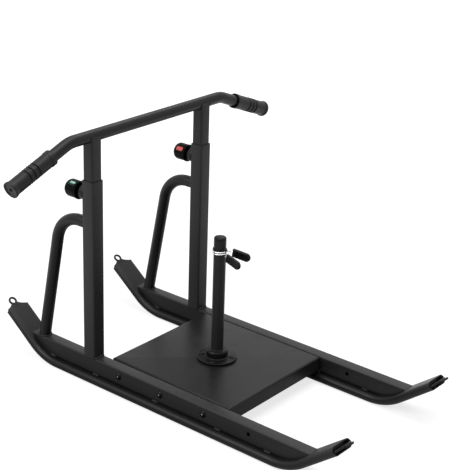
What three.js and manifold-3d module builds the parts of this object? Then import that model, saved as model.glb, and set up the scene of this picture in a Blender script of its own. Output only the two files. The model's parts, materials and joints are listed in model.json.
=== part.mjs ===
// Drag sled: two upturned skis joined by a deck, with a height-adjustable push bar.
// Millimetres. X points forward, Y to the left, Z up, and Z = 0 is the ground.
import * as THREE from 'three';
import { mergeVertices } from 'three/addons/utils/BufferGeometryUtils.js';
import Module from 'manifold-3d';

const wasm = await Module();
wasm.setup();

const { degToRad } = THREE.MathUtils;

// Clearances
const fit = 0.3; // between pieces that are welded, bolted or pushed together
const slideFit = 0.15; // each side of a piece that slides in a guide
const overrun = 2; // how far a cut runs past the face that it opens

// Whole sled
const trackWidth = 400; // over the outer faces of the two rails

// Skis: flat oval tube, bent up at both ends
const skiWidth = 64;
const skiThickness = 21;
const skiWall = 2;
const skiCorner = 369.6; // from the middle to where the straight runs of the centre line would meet
const skiTip = 145.6; // from that corner to the end of the tube
const skiRise = degToRad(37.5);
const skiBendRadius = 130;

// Tow eyes and the plugs that close the ski tubes
const eyePlateInset = 2; // from the tube's side walls to the plate
const eyePlateThickness = 4;
const eyePlateInside = 22;
const eyePlateOutside = 4.5;
const eyeReach = 20.6; // from the end of the tube to the centre of the eye
const eyeRadius = 11.5;
const eyeHole = 7.25;
const eyeNeck = degToRad(115); // where the plate's curved shoulder runs into the eye
const plugDepth = 12;
const plugRecess = 1.5;

// Rails: box tube that stands on each ski
const railWidth = 30;
const railHeight = 40;
const railWall = 2;
const railCorner = 3;
const railBoltDrop = 17.6; // bolt axis below the rail's top
const accessoryHole = 4.75;

// Deck: sheet folded down on all four sides
const deckLength = 357;
const deckProud = 1; // above the rails
const deckFlange = 34;
const deckSheet = 2;
const deckBend = 5;
const deckBoltInset = 50.5; // from the deck's ends to its outer bolts

// Lower uprights
const sleeveWidth = 35;
const sleeveWall = 1.5;
const sleeveCorner = 4;
const sleeveTop = 496;
const bushingWall = 0.7; // between the sleeve and the post
const bushingLip = 1.6;
const bushingDepth = 18;

// Telescoping posts
const postWall = 2;
const postCorner = 4;
const postTail = 165; // below the pin, at the middle height
const pinDrop = 32.5; // pin below the sleeve's top
const holePitch = 25;
const holeCount = 7;

// Push bar and its grips
const barRadius = 14;
const barWall = 2;
const barLift = 104.5; // above the sleeves' tops, at the middle height
const barOverhang = 69; // from the uprights to where the bar turns down
const barDroop = degToRad(20.9);
const barBendRadius = 80;
const gripStart = 56.5; // from that corner to the inner end of the grip
const gripLength = 127;
const gripWall = 3.5;
const gripCollarStep = 1; // above the plain stretch
const gripCollarLength = 14;
const gripFlangeStep = 2.4; // above the plain stretch
const gripFlangeLength = 4;
const gripFlare = 9;
const gripEndWall = 5;
const gripEndHole = 3;
const grooveShares = [0.375, 0.51, 0.645]; // along the plain stretch of the grip
const grooveWidth = 2.4;
const grooveDepth = 1.3;

// Low handles behind the uprights
const handleRadius = 14;
const handleWall = 2;
const handleFootPast = 17.9; // behind the skis' rear corner
const handleReach = 166.5; // from the foot to the uprights
const handleDrop = 73; // top run below the pull pins
const handleLean = degToRad(10.9);
const handleBendRadius = 75;

// Pull pins
const pinRadius = 4;
const pinTip = 9; // into the upright from its rear face
const pinCollarRadius = 6.2;
const pinCollarLength = 2;
const bossRadius = 17.5;
const bossLength = 12;
const barrelRadius = 10;
const barrelLength = 31;
const barrelWall = 3;
const pinSpringWire = 1.2;
const pinSpringTurns = 6;
const knobStart = 20; // from the upright's rear face
const knobLength = 37;
const knobRimRadius = 21.5;
const knobRimLength = 5;
const knobWaistRadius = 18.8;
const knobRadius = 21;
const knobBack = 5; // plastic left behind the end of the pin
const inlayLength = 19;
const inlayWidth = 11;
const inlayDepth = 3;
const inlayCorner = 3;
const inlayTurns = { right: degToRad(35), left: degToRad(54) }; // from straight up, to the sled's right
const inlayPlaceShare = 0.36; // along the knob, past its rim
const knobDomeShare = 0.3; // of the knob's length
const knobCrownShare = 0.6; // radius of the knob's flat end

// Weight post
const poleRadius = 14.5;
const poleWall = 3;
const poleTop = 369;
const poleCapDome = 6;
const poleCapPlug = 14;
const poleCapRimShare = 0.35; // upright edge of the dome
const flangeThickness = 5;
const collarWall = 11.5;
const collarHeight = 18;
const collarChamfer = 3;
const flangeBoltStep = 11; // from the collar to the bolt circle
const flangeMargin = 10.5; // from the bolt circle to the flange's edge
const flangeBoltCount = 4;
const flangeBoltTurn = degToRad(25);

// Screws and nuts
const screwRadius = 4;
const screwHeadRadius = 7;
const screwHeadHeight = 4.4;
const screwSocket = 2.5;
const screwSocketDepth = 2.4;
const screwEnd = 3; // shown past the nut
const nutRadius = 7.5; // over the corners
const nutHeight = 6.5;

// Spring clip on the weight post
const clipWire = 3.3;
const clipTurns = 3;
const clipGap = 1.5; // between turns
const clipDrop = 41.5; // lowest wire below the post's top
const clipLeave = degToRad(35); // where the wires leave the ring, either side of the front
const clipReach = 29; // from the post's axis to the grips
const clipSpread = 10.5; // from the sled's middle plane to each grip
const clipSplay = degToRad(9.6);
const clipRiseShares = { right: 0.2, left: 1.66 }; // each grip above the lowest wire, in turns
const clipDroop = { right: degToRad(10), left: degToRad(7) };
const clipGripLength = 46;
const clipGripHeight = 20;
const clipGripThickness = 8;
const clipGripBevel = 2;
const clipGripBore = 16;

// Shares used by several shapes
const domeShares = [0, 0.5, 0.85]; // up a dome, where its outline has points
const bendRoomShare = 0.9; // of the shorter run beside a bend
const eyeNeckShares = [1 / 3, 1 / 4]; // of the plate's shoulder, for the pull of its curve
const clipLeadShare = 4; // of the wire's thickness, for how far an arm keeps to the ring's line

// Fineness of the faceted shapes
const roundSegments = 8; // per half turn of a round tube
const holeSegments = 6; // per half turn of a screw's or pin's hole
const cornerSegments = 2; // per rounded corner, doubled by the arc
const latheSegments = 18;
const screwSegments = 12;
const bendFacet = degToRad(13); // at most this much turn per step of a bend
const gapStepShare = 1 / 6; // of a wire's facet, between the points that its gap is measured on
const loopSteps = 24;
const loopSides = 6;
const curlSteps = 8;
const curlSides = 5;

// Places worked out from the sizes above
const eyePlateWidth = skiWidth - 2 * (skiWall + eyePlateInset);
const railPlace = (trackWidth - railWidth) / 2;
const railFloor = skiThickness + fit;
const railTop = railFloor + railHeight;
const railInner = railPlace - railWidth / 2;
const boltHeight = railTop - railBoltDrop;
const deckTop = railTop + deckProud;
const deckHalfWidth = railInner - fit;
const deckBoltPitch = deckLength / 2 - deckBoltInset;
const handleFoot = -(skiCorner + handleFootPast);
const sleevePlace = handleFoot + handleReach;
const sleeveFloor = railTop + fit;
const sleeveRear = sleevePlace - sleeveWidth / 2;
const postWidth = sleeveWidth - 2 * (sleeveWall + bushingWall + 2 * slideFit);
const pinHeight = sleeveTop - pinDrop;
const postFoot = pinHeight - postTail;
const handleHeight = pinHeight - handleDrop;
const barHeight = sleeveTop + barLift;
const barCorner = railPlace + barOverhang;
const gripRadius = barRadius + gripWall;
const gripCollarRadius = gripRadius + gripCollarStep;
const gripFlangeRadius = gripRadius + gripFlangeStep;
const flangeFloor = deckTop + fit;
const collarRadius = poleRadius + collarWall;
const flangeBoltCircle = collarRadius + flangeBoltStep;
const flangeRadius = flangeBoltCircle + flangeMargin;
const clipBase = poleTop - clipDrop;
const clipPitch = clipWire + clipGap;
const sides = { right: -1, left: 1 };
const ends = { rear: -1, front: 1 };

const materials = {
  paint: new THREE.MeshStandardMaterial({ color: 0x232325, roughness: 0.55, metalness: 0.25 }),
  rubber: new THREE.MeshStandardMaterial({ color: 0x1a1a1b, roughness: 0.8, metalness: 0 }),
  plastic: new THREE.MeshStandardMaterial({ color: 0x0e0e0f, roughness: 0.45, metalness: 0 }),
  gloss: new THREE.MeshStandardMaterial({ color: 0x070707, roughness: 0.15, metalness: 0 }),
  green: new THREE.MeshStandardMaterial({ color: 0x0d8a62, roughness: 0.2, metalness: 0 }),
  red: new THREE.MeshStandardMaterial({ color: 0xd83a2e, roughness: 0.2, metalness: 0 }),
  chrome: new THREE.MeshStandardMaterial({ color: 0xd8d8da, roughness: 0.12, metalness: 1 }),
  steel: new THREE.MeshStandardMaterial({ color: 0x9a9a9c, roughness: 0.35, metalness: 1 }),
  blackSteel: new THREE.MeshStandardMaterial({ color: 0x151516, roughness: 0.4, metalness: 0.8 }),
};

// A route given station by station, so that a tube along it has a ring exactly where it is needed
class StationRoute extends THREE.Curve {
  constructor(points, tangents, planeNormal = null) {
    super();
    this.points = points;
    this.tangents = tangents;
    this.planeNormal = planeNormal;
  }

  get steps() {
    return this.points.length - 1;
  }

  getPointAt(share) {
    return this.points[Math.round(share * this.steps)].clone();
  }

  getTangentAt(share) {
    return this.tangents[Math.round(share * this.steps)].clone();
  }

  // A flat route keeps its sections square to its plane
  computeFrenetFrames(segments, closed) {
    if (!this.planeNormal) return super.computeFrenetFrames(segments, closed);
    const binormals = this.tangents.map(() => this.planeNormal.clone());
    const normals = this.tangents.map((tangent) => this.planeNormal.clone().cross(tangent));
    return { tangents: this.tangents, normals, binormals };
  }
}

// Straight runs between corners, with an arc at each inner corner, smaller where it has no room
function bentRoute(corners, radius, planeNormal) {
  const points = [corners[0]];
  const tangents = [corners[1].clone().sub(corners[0]).normalize()];
  for (let i = 1; i < corners.length - 1; i++) {
    const into = corners[i].clone().sub(corners[i - 1]).normalize();
    const out = corners[i + 1].clone().sub(corners[i]).normalize();
    const turn = into.angleTo(out);
    const before = corners[i].distanceTo(corners[i - 1]) / (i > 1 ? 2 : 1);
    const after = corners[i].distanceTo(corners[i + 1]) / (i < corners.length - 2 ? 2 : 1);
    const bend = Math.min(radius, (bendRoomShare * Math.min(before, after)) / Math.tan(turn / 2));
    const inward = out.clone().sub(into).normalize();
    const centre = corners[i].clone().addScaledVector(inward, bend / Math.cos(turn / 2));
    const axis = into.clone().cross(out).normalize();
    const spoke = corners[i].clone().addScaledVector(into, -bend * Math.tan(turn / 2)).sub(centre);
    const steps = Math.ceil(turn / bendFacet);
    for (let step = 0; step <= steps; step++) {
      const angle = (turn * step) / steps;
      points.push(spoke.clone().applyAxisAngle(axis, angle).add(centre));
      tangents.push(into.clone().applyAxisAngle(axis, angle));
    }
  }
  points.push(corners.at(-1));
  tangents.push(tangents.at(-1).clone());
  return new StationRoute(points, tangents, planeNormal);
}

function disc(radius) {
  const shape = new THREE.Shape();
  shape.absarc(0, 0, radius, 0, 2 * Math.PI);
  return shape;
}

function ring(radius, bore) {
  const shape = disc(radius);
  shape.holes.push(disc(bore));
  return shape;
}

function roundedRectangle(width, height, corner) {
  const x = width / 2 - corner;
  const y = height / 2 - corner;
  const quarter = Math.PI / 2;
  const shape = new THREE.Shape();
  shape.absarc(x, -y, corner, -quarter, 0);
  shape.absarc(x, y, corner, 0, quarter);
  shape.absarc(-x, y, corner, quarter, 2 * quarter);
  shape.absarc(-x, -y, corner, 2 * quarter, 3 * quarter);
  return shape;
}

function boxSection(width, height, corner, wall, innerCorner = corner - wall / 2) {
  const shape = roundedRectangle(width, height, corner);
  shape.holes.push(roundedRectangle(width - 2 * wall, height - 2 * wall, innerCorner));
  return shape;
}

function hexagon(radius) {
  const points = [];
  for (let i = 0; i < 6; i++) {
    const angle = (i * Math.PI) / 3;
    points.push(new THREE.Vector2(radius * Math.cos(angle), radius * Math.sin(angle)));
  }
  return new THREE.Shape(points);
}

// Upright prism from z = 0 to z = length
function prism(shape, length, curveSegments) {
  return new THREE.ExtrudeGeometry(shape, { depth: length, bevelEnabled: false, curveSegments });
}

// The same prism laid along X or Y, centred on the origin
function prismAlongX(shape, length, curveSegments) {
  return prism(shape, length, curveSegments).translate(0, 0, -length / 2).rotateY(Math.PI / 2);
}

function prismAlongY(shape, length, curveSegments) {
  return prism(shape, length, curveSegments).translate(0, 0, -length / 2).rotateX(Math.PI / 2);
}

function tube(route, shape, curveSegments) {
  return new THREE.ExtrudeGeometry(shape, { steps: route.steps, extrudePath: route, curveSegments });
}

// A turned piece about Z, from a closed outline of [radius, height] pairs that goes up on its outside
function turned(outline, segments = latheSegments) {
  const points = [...outline, outline[0]].map(([radius, height]) => new THREE.Vector2(radius, height));
  return new THREE.LatheGeometry(points, segments).rotateX(Math.PI / 2);
}

function rod(radius, length, segments = latheSegments) {
  return new THREE.CylinderGeometry(radius, radius, length, segments).rotateX(Math.PI / 2);
}

function toSolid(geometry) {
  const plain = geometry.clone();
  plain.deleteAttribute('normal');
  plain.deleteAttribute('uv');
  const merged = mergeVertices(plain);
  const vertProperties = new Float32Array(merged.attributes.position.array);
  const triVerts = new Uint32Array(merged.index.array);
  return new wasm.Manifold(new wasm.Mesh({ numProp: 3, vertProperties, triVerts }));
}

function toGeometry(solid) {
  const mesh = solid.getMesh();
  const geometry = new THREE.BufferGeometry();
  geometry.setAttribute('position', new THREE.BufferAttribute(mesh.vertProperties, 3));
  geometry.setIndex(new THREE.BufferAttribute(mesh.triVerts, 1));
  return geometry;
}

function cut(geometry, tools) {
  return toGeometry(tools.reduce((solid, tool) => solid.subtract(toSolid(tool)), toSolid(geometry)));
}

function common(geometry, other) {
  return toGeometry(toSolid(geometry).intersect(toSolid(other)));
}

function joined(geometry, other) {
  return toGeometry(toSolid(geometry).add(toSolid(other)));
}

// The centre line of a ski, at the height of the tube's middle
function skiRoute() {
  const run = skiCorner + skiTip * Math.cos(skiRise);
  const rise = skiTip * Math.sin(skiRise);
  const corners = [
    new THREE.Vector3(-run, 0, rise),
    new THREE.Vector3(-skiCorner, 0, 0),
    new THREE.Vector3(skiCorner, 0, 0),
    new THREE.Vector3(run, 0, rise),
  ];
  return bentRoute(corners, skiBendRadius, new THREE.Vector3(0, 1, 0));
}

function ski() {
  const edge = skiThickness / 2;
  return tube(skiRoute(), boxSection(skiThickness, skiWidth, edge, skiWall, edge - skiWall), cornerSegments);
}

// Everything above the ski's upper face, between its two tips
function spaceOverSki() {
  const route = skiRoute();
  const lift = skiThickness / 2 + fit;
  const outline = route.points.map((point, i) => {
    const { x, z } = route.tangents[i];
    return new THREE.Vector2(point.x - lift * z, point.z + lift * x);
  });
  return prismAlongY(new THREE.Shape(outline), railWidth + 2 * overrun, 1).translate(0, 0, skiThickness / 2);
}

function boltHole(place, radius) {
  return prismAlongY(disc(radius), railWidth + 2 * overrun, holeSegments).translate(place, 0, boltHeight);
}

function deckBoltPlaces() {
  return [-deckBoltPitch, 0, deckBoltPitch];
}

function rail() {
  const section = boxSection(railHeight, railWidth, railCorner, railWall);
  const length = 2 * (skiCorner + skiTip);
  const bar = prismAlongX(section, length, cornerSegments).translate(0, 0, railFloor + railHeight / 2);
  const holes = deckBoltPlaces().map((place) => boltHole(place, screwRadius + fit));
  holes.push(boltHole(2 * deckBoltPitch, accessoryHole));
  return cut(common(bar, spaceOverSki()), holes);
}

// Outline of the folded deck, seen from one side, with its top corners rounded
function deckProfile(width, height, corner) {
  const x = width / 2;
  const quarter = Math.PI / 2;
  const shape = new THREE.Shape();
  shape.moveTo(-x, 0);
  shape.lineTo(x, 0);
  shape.absarc(x - corner, height - corner, corner, 0, quarter);
  shape.absarc(-x + corner, height - corner, corner, quarter, 2 * quarter);
  return shape;
}

function deckBlock(length, width, height, corner) {
  const side = prismAlongY(deckProfile(length, height, corner), width, cornerSegments);
  const across = prism(deckProfile(width, height, corner), length, cornerSegments)
    .translate(0, 0, -length / 2)
    .rotateX(Math.PI / 2)
    .rotateZ(Math.PI / 2);
  return common(side, across);
}

function flangeBoltPlaces() {
  return Array.from({ length: flangeBoltCount }, (_, i) => {
    const angle = flangeBoltTurn + (2 * Math.PI * i) / flangeBoltCount;
    return [flangeBoltCircle * Math.cos(angle), flangeBoltCircle * Math.sin(angle)];
  });
}

function flangeBoltHoles(middle, depth) {
  const hole = rod(screwRadius + fit, depth, screwSegments);
  return flangeBoltPlaces().map(([x, y]) => hole.clone().translate(x, y, middle));
}

function deck() {
  const width = 2 * deckHalfWidth;
  const shell = deckBlock(deckLength, width, deckFlange, deckBend);
  const inner = deckBlock(
    deckLength - 2 * deckSheet,
    width - 2 * deckSheet,
    deckFlange - deckSheet + overrun,
    deckBend - deckSheet,
  ).translate(0, 0, -overrun);
  const height = boltHeight - (deckTop - deckFlange);
  const holes = deckBoltPlaces().map((place) =>
    prismAlongY(disc(screwRadius + fit), width + 2 * overrun, holeSegments).translate(place, 0, height));
  return cut(shell, [inner, ...holes, ...flangeBoltHoles(deckFlange, 2 * deckSheet + 2 * overrun)]);
}

// A button-head screw, standing on its head's seat with the thread down
function screw(length) {
  const dome = domeShares.map((share) => {
    const radius = screwHeadRadius * Math.sqrt(1 - share ** 2);
    return [radius, screwHeadHeight * share];
  });
  const blank = turned(
    [[0, -length], [screwRadius, -length], [screwRadius, 0], ...dome, [0, screwHeadHeight]],
    screwSegments,
  );
  const socket = prism(hexagon(screwSocket), screwSocketDepth + overrun, 1)
    .translate(0, 0, screwHeadHeight - screwSocketDepth);
  return cut(blank, [socket]);
}

function nut() {
  const shape = hexagon(nutRadius);
  shape.holes.push(disc(screwRadius + fit));
  return prism(shape, nutHeight, holeSegments);
}

// Flat plate with a round eye, lying in the plane of the ski's tip, measured from the end of the tube
function towEye() {
  const half = eyePlateWidth / 2;
  const neckX = eyeReach + eyeRadius * Math.cos(eyeNeck);
  const neckY = eyeRadius * Math.sin(eyeNeck);
  const [pullX, pullY] = eyeNeckShares.map((share) => share * (half - neckY));
  const shape = new THREE.Shape();
  shape.moveTo(-eyePlateInside, -half);
  shape.lineTo(eyePlateOutside, -half);
  shape.quadraticCurveTo(neckX - pullX, -neckY - pullY, neckX, -neckY);
  shape.absarc(eyeReach, 0, eyeRadius, -eyeNeck, eyeNeck);
  shape.quadraticCurveTo(neckX - pullX, neckY + pullY, eyePlateOutside, half);
  shape.lineTo(-eyePlateInside, half);
  const hole = new THREE.Path();
  hole.absarc(eyeReach, 0, eyeHole, 0, 2 * Math.PI);
  shape.holes.push(hole);
  return prism(shape, eyePlateThickness, roundSegments).translate(0, 0, -eyePlateThickness / 2);
}

// Plug in the end of the ski tube, slotted for the plate of the tow eye
function skiPlug() {
  const width = skiWidth - 2 * (skiWall + fit);
  const thickness = skiThickness - 2 * (skiWall + fit);
  const body = prismAlongX(roundedRectangle(thickness, width, thickness / 2), plugDepth, cornerSegments)
    .translate(-plugRecess - plugDepth / 2, 0, 0);
  const slot = new THREE.BoxGeometry(
    plugDepth + 2 * overrun,
    eyePlateWidth + 2 * fit,
    eyePlateThickness + 2 * fit,
  ).translate(-plugRecess - plugDepth / 2, 0, 0);
  return cut(body, [slot]);
}

function sleeve() {
  const length = sleeveTop - sleeveFloor;
  const body = prism(boxSection(sleeveWidth, sleeveWidth, sleeveCorner, sleeveWall), length, cornerSegments);
  const pinHole = prismAlongX(disc(pinRadius + fit), sleeveWidth, holeSegments)
    .translate(-sleeveWidth / 2 - sleeveWidth / 4, 0, pinHeight - sleeveFloor);
  return cut(body, [pinHole]);
}

// Plastic guide pushed into the top of the sleeve
function bushing() {
  const inside = sleeveWidth - 2 * (sleeveWall + slideFit);
  const corner = sleeveCorner - sleeveWall / 2;
  const insert = prism(roundedRectangle(inside, inside, corner), bushingDepth + bushingLip, cornerSegments)
    .translate(0, 0, -bushingDepth);
  const lip = prism(roundedRectangle(sleeveWidth, sleeveWidth, sleeveCorner), bushingLip, cornerSegments);
  const bore = postWidth + 2 * slideFit;
  const depth = bushingDepth + bushingLip + 2 * overrun;
  const opening = prism(roundedRectangle(bore, bore, postCorner), depth, cornerSegments)
    .translate(0, 0, -bushingDepth - overrun);
  return cut(joined(insert, lip), [opening]);
}

function post() {
  const length = barHeight - postFoot;
  const body = prism(boxSection(postWidth, postWidth, postCorner, postWall), length, cornerSegments);
  const saddle = prismAlongY(disc(barRadius + fit), postWidth + 2 * overrun, roundSegments)
    .translate(0, 0, length);
  const holes = Array.from({ length: holeCount }, (_, i) => {
    const height = pinHeight + (i - (holeCount - 1) / 2) * holePitch - postFoot;
    return prismAlongX(disc(pinRadius + fit), postWidth, holeSegments)
      .translate(-postWidth / 2 - postWidth / 4, 0, height);
  });
  return cut(body, [saddle, ...holes]);
}

function pushBar() {
  const tip = gripStart + gripLength - gripEndWall - fit;
  const reach = barCorner + tip * Math.cos(barDroop);
  const drop = tip * Math.sin(barDroop);
  const corners = [
    new THREE.Vector3(0, -reach, -drop),
    new THREE.Vector3(0, -barCorner, 0),
    new THREE.Vector3(0, barCorner, 0),
    new THREE.Vector3(0, reach, -drop),
  ];
  const route = bentRoute(corners, barBendRadius, new THREE.Vector3(1, 0, 0));
  return tube(route, ring(barRadius, barRadius - barWall), roundSegments);
}

// Moulded grip, from its inner end at z = 0 to the flange at the bar's end
function grip() {
  const bore = barRadius + fit;
  const flareStart = gripLength - gripFlangeLength - gripFlare;
  const plain = flareStart - gripCollarLength;
  const grooves = grooveShares.flatMap((share) => {
    const middle = gripCollarLength + share * plain;
    return [
      [gripRadius, middle - grooveWidth / 2],
      [gripRadius - grooveDepth, middle],
      [gripRadius, middle + grooveWidth / 2],
    ];
  });
  const round = gripFlangeLength / 4;
  return turned([
    [bore, 0],
    [gripCollarRadius - round, 0],
    [gripCollarRadius, round],
    [gripCollarRadius, gripCollarLength - round],
    [gripRadius, gripCollarLength + round],
    ...grooves,
    [gripRadius, flareStart],
    [gripRadius + (gripFlangeRadius - gripRadius) / 4, flareStart + gripFlare / 2],
    [gripFlangeRadius, flareStart + gripFlare],
    [gripFlangeRadius, gripLength - round],
    [gripFlangeRadius - round, gripLength],
    [gripEndHole, gripLength],
    [gripEndHole, gripLength - gripEndWall],
    [bore, gripLength - gripEndWall],
  ]);
}

// Bent tube from the rail's top up and forward to the back of the upright
function lowHandle() {
  const top = handleHeight - railTop;
  const below = 2 * handleRadius * Math.sin(handleLean) + overrun;
  const lean = Math.tan(handleLean);
  const corners = [
    new THREE.Vector3(handleFoot - lean * below, 0, railTop - below),
    new THREE.Vector3(handleFoot + lean * top, 0, handleHeight),
    new THREE.Vector3(sleeveRear - fit, 0, handleHeight),
  ];
  const route = bentRoute(corners, handleBendRadius, new THREE.Vector3(0, 1, 0));
  const body = tube(route, ring(handleRadius, handleRadius - handleWall), roundSegments);
  const floor = new THREE.BoxGeometry(6 * handleRadius, 4 * handleRadius, 2 * below)
    .translate(handleFoot, 0, railTop + fit - below);
  return cut(body, [floor]);
}

// The next five functions lie along Z, which points to the rear from the upright's rear face
function pinHousing() {
  const bore = pinCollarRadius + fit;
  const hole = pinRadius + fit;
  const chamfer = bossLength / 12;
  return turned([
    [bore, fit],
    [bossRadius, fit],
    [bossRadius, bossLength - chamfer],
    [bossRadius - chamfer, bossLength],
    [barrelRadius, bossLength],
    [barrelRadius, barrelLength - chamfer],
    [barrelRadius - chamfer, barrelLength],
    [hole, barrelLength],
    [hole, barrelLength - barrelWall],
    [bore, barrelLength - barrelWall],
  ]);
}

function pullPin() {
  const chamfer = pinRadius / 4;
  const rear = knobStart + knobLength - knobBack - fit;
  return turned([
    [0, -pinTip],
    [pinRadius - chamfer, -pinTip],
    [pinRadius, chamfer - pinTip],
    [pinRadius, fit],
    [pinCollarRadius, fit],
    [pinCollarRadius, fit + pinCollarLength],
    [pinRadius, fit + pinCollarLength],
    [pinRadius, rear],
    [0, rear],
  ], screwSegments);
}

// Distance kept between the turns of a wound wire, measured on points along its centre line
function leastGap(route, wire) {
  const points = [];
  for (let i = 0; i < route.steps; i++) {
    for (let share = 0; share < 1; share += gapStepShare) {
      points.push(route.points[i].clone().lerp(route.points[i + 1], share));
    }
  }
  const along = [0];
  points.slice(1).forEach((point, i) => along.push(along[i] + point.distanceTo(points[i])));
  let least = Infinity;
  points.forEach((point, i) => {
    for (let j = i + 1; j < points.length; j++) {
      if (along[j] - along[i] > Math.PI * wire) least = Math.min(least, point.distanceTo(points[j]));
    }
  });
  return least - wire;
}

function regularPolygon(radius, count) {
  const points = [];
  for (let i = 0; i < count; i++) {
    const angle = (2 * Math.PI * i) / count;
    points.push(new THREE.Vector2(radius * Math.cos(angle), radius * Math.sin(angle)));
  }
  return new THREE.Shape(points);
}

// Stations with the direction of the wire at each, from a list of points
function wireRoute(points) {
  const tangents = points.map((point, i) => {
    const before = points[Math.max(i - 1, 0)];
    const after = points[Math.min(i + 1, points.length - 1)];
    return after.clone().sub(before).normalize();
  });
  return new StationRoute(points, tangents);
}

function pinSpring() {
  const from = 2 * fit + pinCollarLength + pinSpringWire / 2;
  const to = barrelLength - barrelWall - fit - pinSpringWire / 2;
  const radius = (pinRadius + pinCollarRadius + fit) / 2;
  const points = [];
  for (let i = 0; i <= pinSpringTurns * curlSteps; i++) {
    const share = i / (pinSpringTurns * curlSteps);
    const angle = 2 * Math.PI * pinSpringTurns * share;
    const place = from + share * (to - from);
    points.push(new THREE.Vector3(radius * Math.cos(angle), radius * Math.sin(angle), place));
  }
  const route = wireRoute(points);
  console.log(`pin spring: least gap between turns ${leastGap(route, pinSpringWire).toFixed(2)} mm`);
  return tube(route, regularPolygon(pinSpringWire / 2, curlSides), 1);
}

function knobBlank() {
  const end = knobStart + knobLength;
  const rimEnd = knobStart + knobRimLength;
  const dome = knobLength * knobDomeShare;
  const shoulder = [];
  for (let i = 0; i <= 5; i++) {
    const angle = (i * Math.PI) / 10;
    const radius = knobRadius * (knobCrownShare + (1 - knobCrownShare) * Math.cos(angle));
    shoulder.push([radius, end - dome + dome * Math.sin(angle)]);
  }
  const edge = knobRimLength / 5;
  return turned([
    [0, knobStart],
    [knobRimRadius - edge, knobStart],
    [knobRimRadius, knobStart + edge],
    [knobRimRadius, rimEnd - edge],
    [knobWaistRadius, rimEnd],
    [knobWaistRadius, rimEnd + edge],
    [knobRadius - edge / 2, rimEnd + 3 * edge],
    ...shoulder,
    [0, end],
  ]);
}

// Prism over the top of the knob, where the coloured inlay sits
function inlayPrism(sideName, clearance) {
  const length = inlayLength - 2 * clearance;
  const width = inlayWidth - 2 * clearance;
  const middle = knobStart + knobRimLength + (knobLength - knobRimLength) * inlayPlaceShare;
  return prismAlongX(roundedRectangle(length, width, inlayCorner), inlayDepth + overrun, cornerSegments)
    .translate(knobRadius - inlayDepth + clearance + (inlayDepth + overrun) / 2, 0, middle)
    .rotateZ(-inlayTurns[sideName]);
}

function knob(sideName) {
  const barrelHole = barrelRadius + 2 * fit;
  const barrelDepth = barrelLength + fit - knobStart;
  const pinDepth = knobLength - knobBack;
  const bores = [
    rod(barrelHole, barrelDepth + overrun).translate(0, 0, knobStart + (barrelDepth - overrun) / 2),
    rod(pinRadius + fit, pinDepth + overrun, screwSegments)
      .translate(0, 0, knobStart + (pinDepth - overrun) / 2),
  ];
  return cut(knobBlank(), [...bores, inlayPrism(sideName, 0)]);
}

function inlay(sideName) {
  return common(knobBlank(), inlayPrism(sideName, fit));
}

function poleBase() {
  const bore = poleRadius + fit;
  const top = flangeThickness + collarHeight;
  const edge = flangeThickness / 4;
  const blank = turned([
    [bore, 0],
    [flangeRadius, 0],
    [flangeRadius, flangeThickness - edge],
    [flangeRadius - edge, flangeThickness],
    [collarRadius, flangeThickness],
    [collarRadius, top - collarChamfer],
    [collarRadius - collarChamfer, top],
    [bore, top],
  ]);
  return cut(blank, flangeBoltHoles(flangeThickness / 2, flangeThickness + 2 * overrun));
}

function pole() {
  const length = poleTop - poleCapDome - fit - flangeFloor;
  return prism(ring(poleRadius, poleRadius - poleWall), length, latheSegments / 2);
}

// Domed plug that closes the top of the pole, with its seat at z = 0
function poleCap() {
  const plug = poleRadius - poleWall - fit;
  const dome = domeShares.map((share) => {
    const radius = poleRadius - (poleCapDome / 2) * (1 - Math.sqrt(1 - share ** 2));
    return [radius, poleCapDome * (poleCapRimShare + (1 - poleCapRimShare) * share)];
  });
  const seat = [[0, -poleCapPlug], [plug, -poleCapPlug], [plug, 0], [poleRadius, 0]];
  return turned([...seat, ...dome, [0, poleCapDome]]);
}

// Where each clip grip starts, and how it is turned
function clipGripPlace(sideName) {
  const side = sides[sideName];
  return {
    root: new THREE.Vector3(clipReach, side * clipSpread, clipBase + clipPitch * clipRiseShares[sideName]),
    turn: new THREE.Euler(0, clipDroop[sideName], side * clipSplay, 'ZYX'),
  };
}

// From the right grip round the post and out to the left grip, crossing over itself
function clipRoute() {
  const radius = poleRadius + fit + clipWire / 2;
  const sweep = 2 * Math.PI * clipTurns - 2 * clipLeave;
  const turns = sweep / (2 * Math.PI);
  const steps = Math.round(turns * loopSteps);
  const ringPoints = [];
  for (let i = 0; i <= steps; i++) {
    const share = i / steps;
    const angle = clipLeave + sweep * share;
    const height = clipBase + clipPitch * turns * share;
    ringPoints.push(new THREE.Vector3(radius * Math.cos(angle), radius * Math.sin(angle), height));
  }
  // One arm: straight inside its grip, then a smooth curve onto the ring
  const arm = (sideName, onRing, angle, sense) => {
    const { root, turn } = clipGripPlace(sideName);
    const along = new THREE.Vector3(1, 0, 0).applyEuler(turn);
    const away = new THREE.Vector3(-Math.sin(angle), Math.cos(angle), 0).multiplyScalar(sense);
    const inside = root.clone().addScaledVector(along, clipGripBore - fit);
    const clear = root.clone().addScaledVector(along, -clipWire);
    const curve = new THREE.CubicBezierCurve3(
      clear,
      clear.clone().addScaledVector(along, -clipWire),
      onRing.clone().addScaledVector(away, clipLeadShare * clipWire),
      onRing,
    );
    return [inside, ...curve.getPoints(loopSteps / 4).slice(0, -1)];
  };
  return wireRoute([
    ...arm('right', ringPoints[0], clipLeave, -1),
    ...ringPoints,
    ...arm('left', ringPoints.at(-1), -clipLeave, 1).reverse(),
  ]);
}

function clipCoil() {
  const route = clipRoute();
  console.log(`clip: least gap between turns ${leastGap(route, clipWire).toFixed(2)} mm`);
  return tube(route, regularPolygon(clipWire / 2, loopSides), 1);
}

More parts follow.
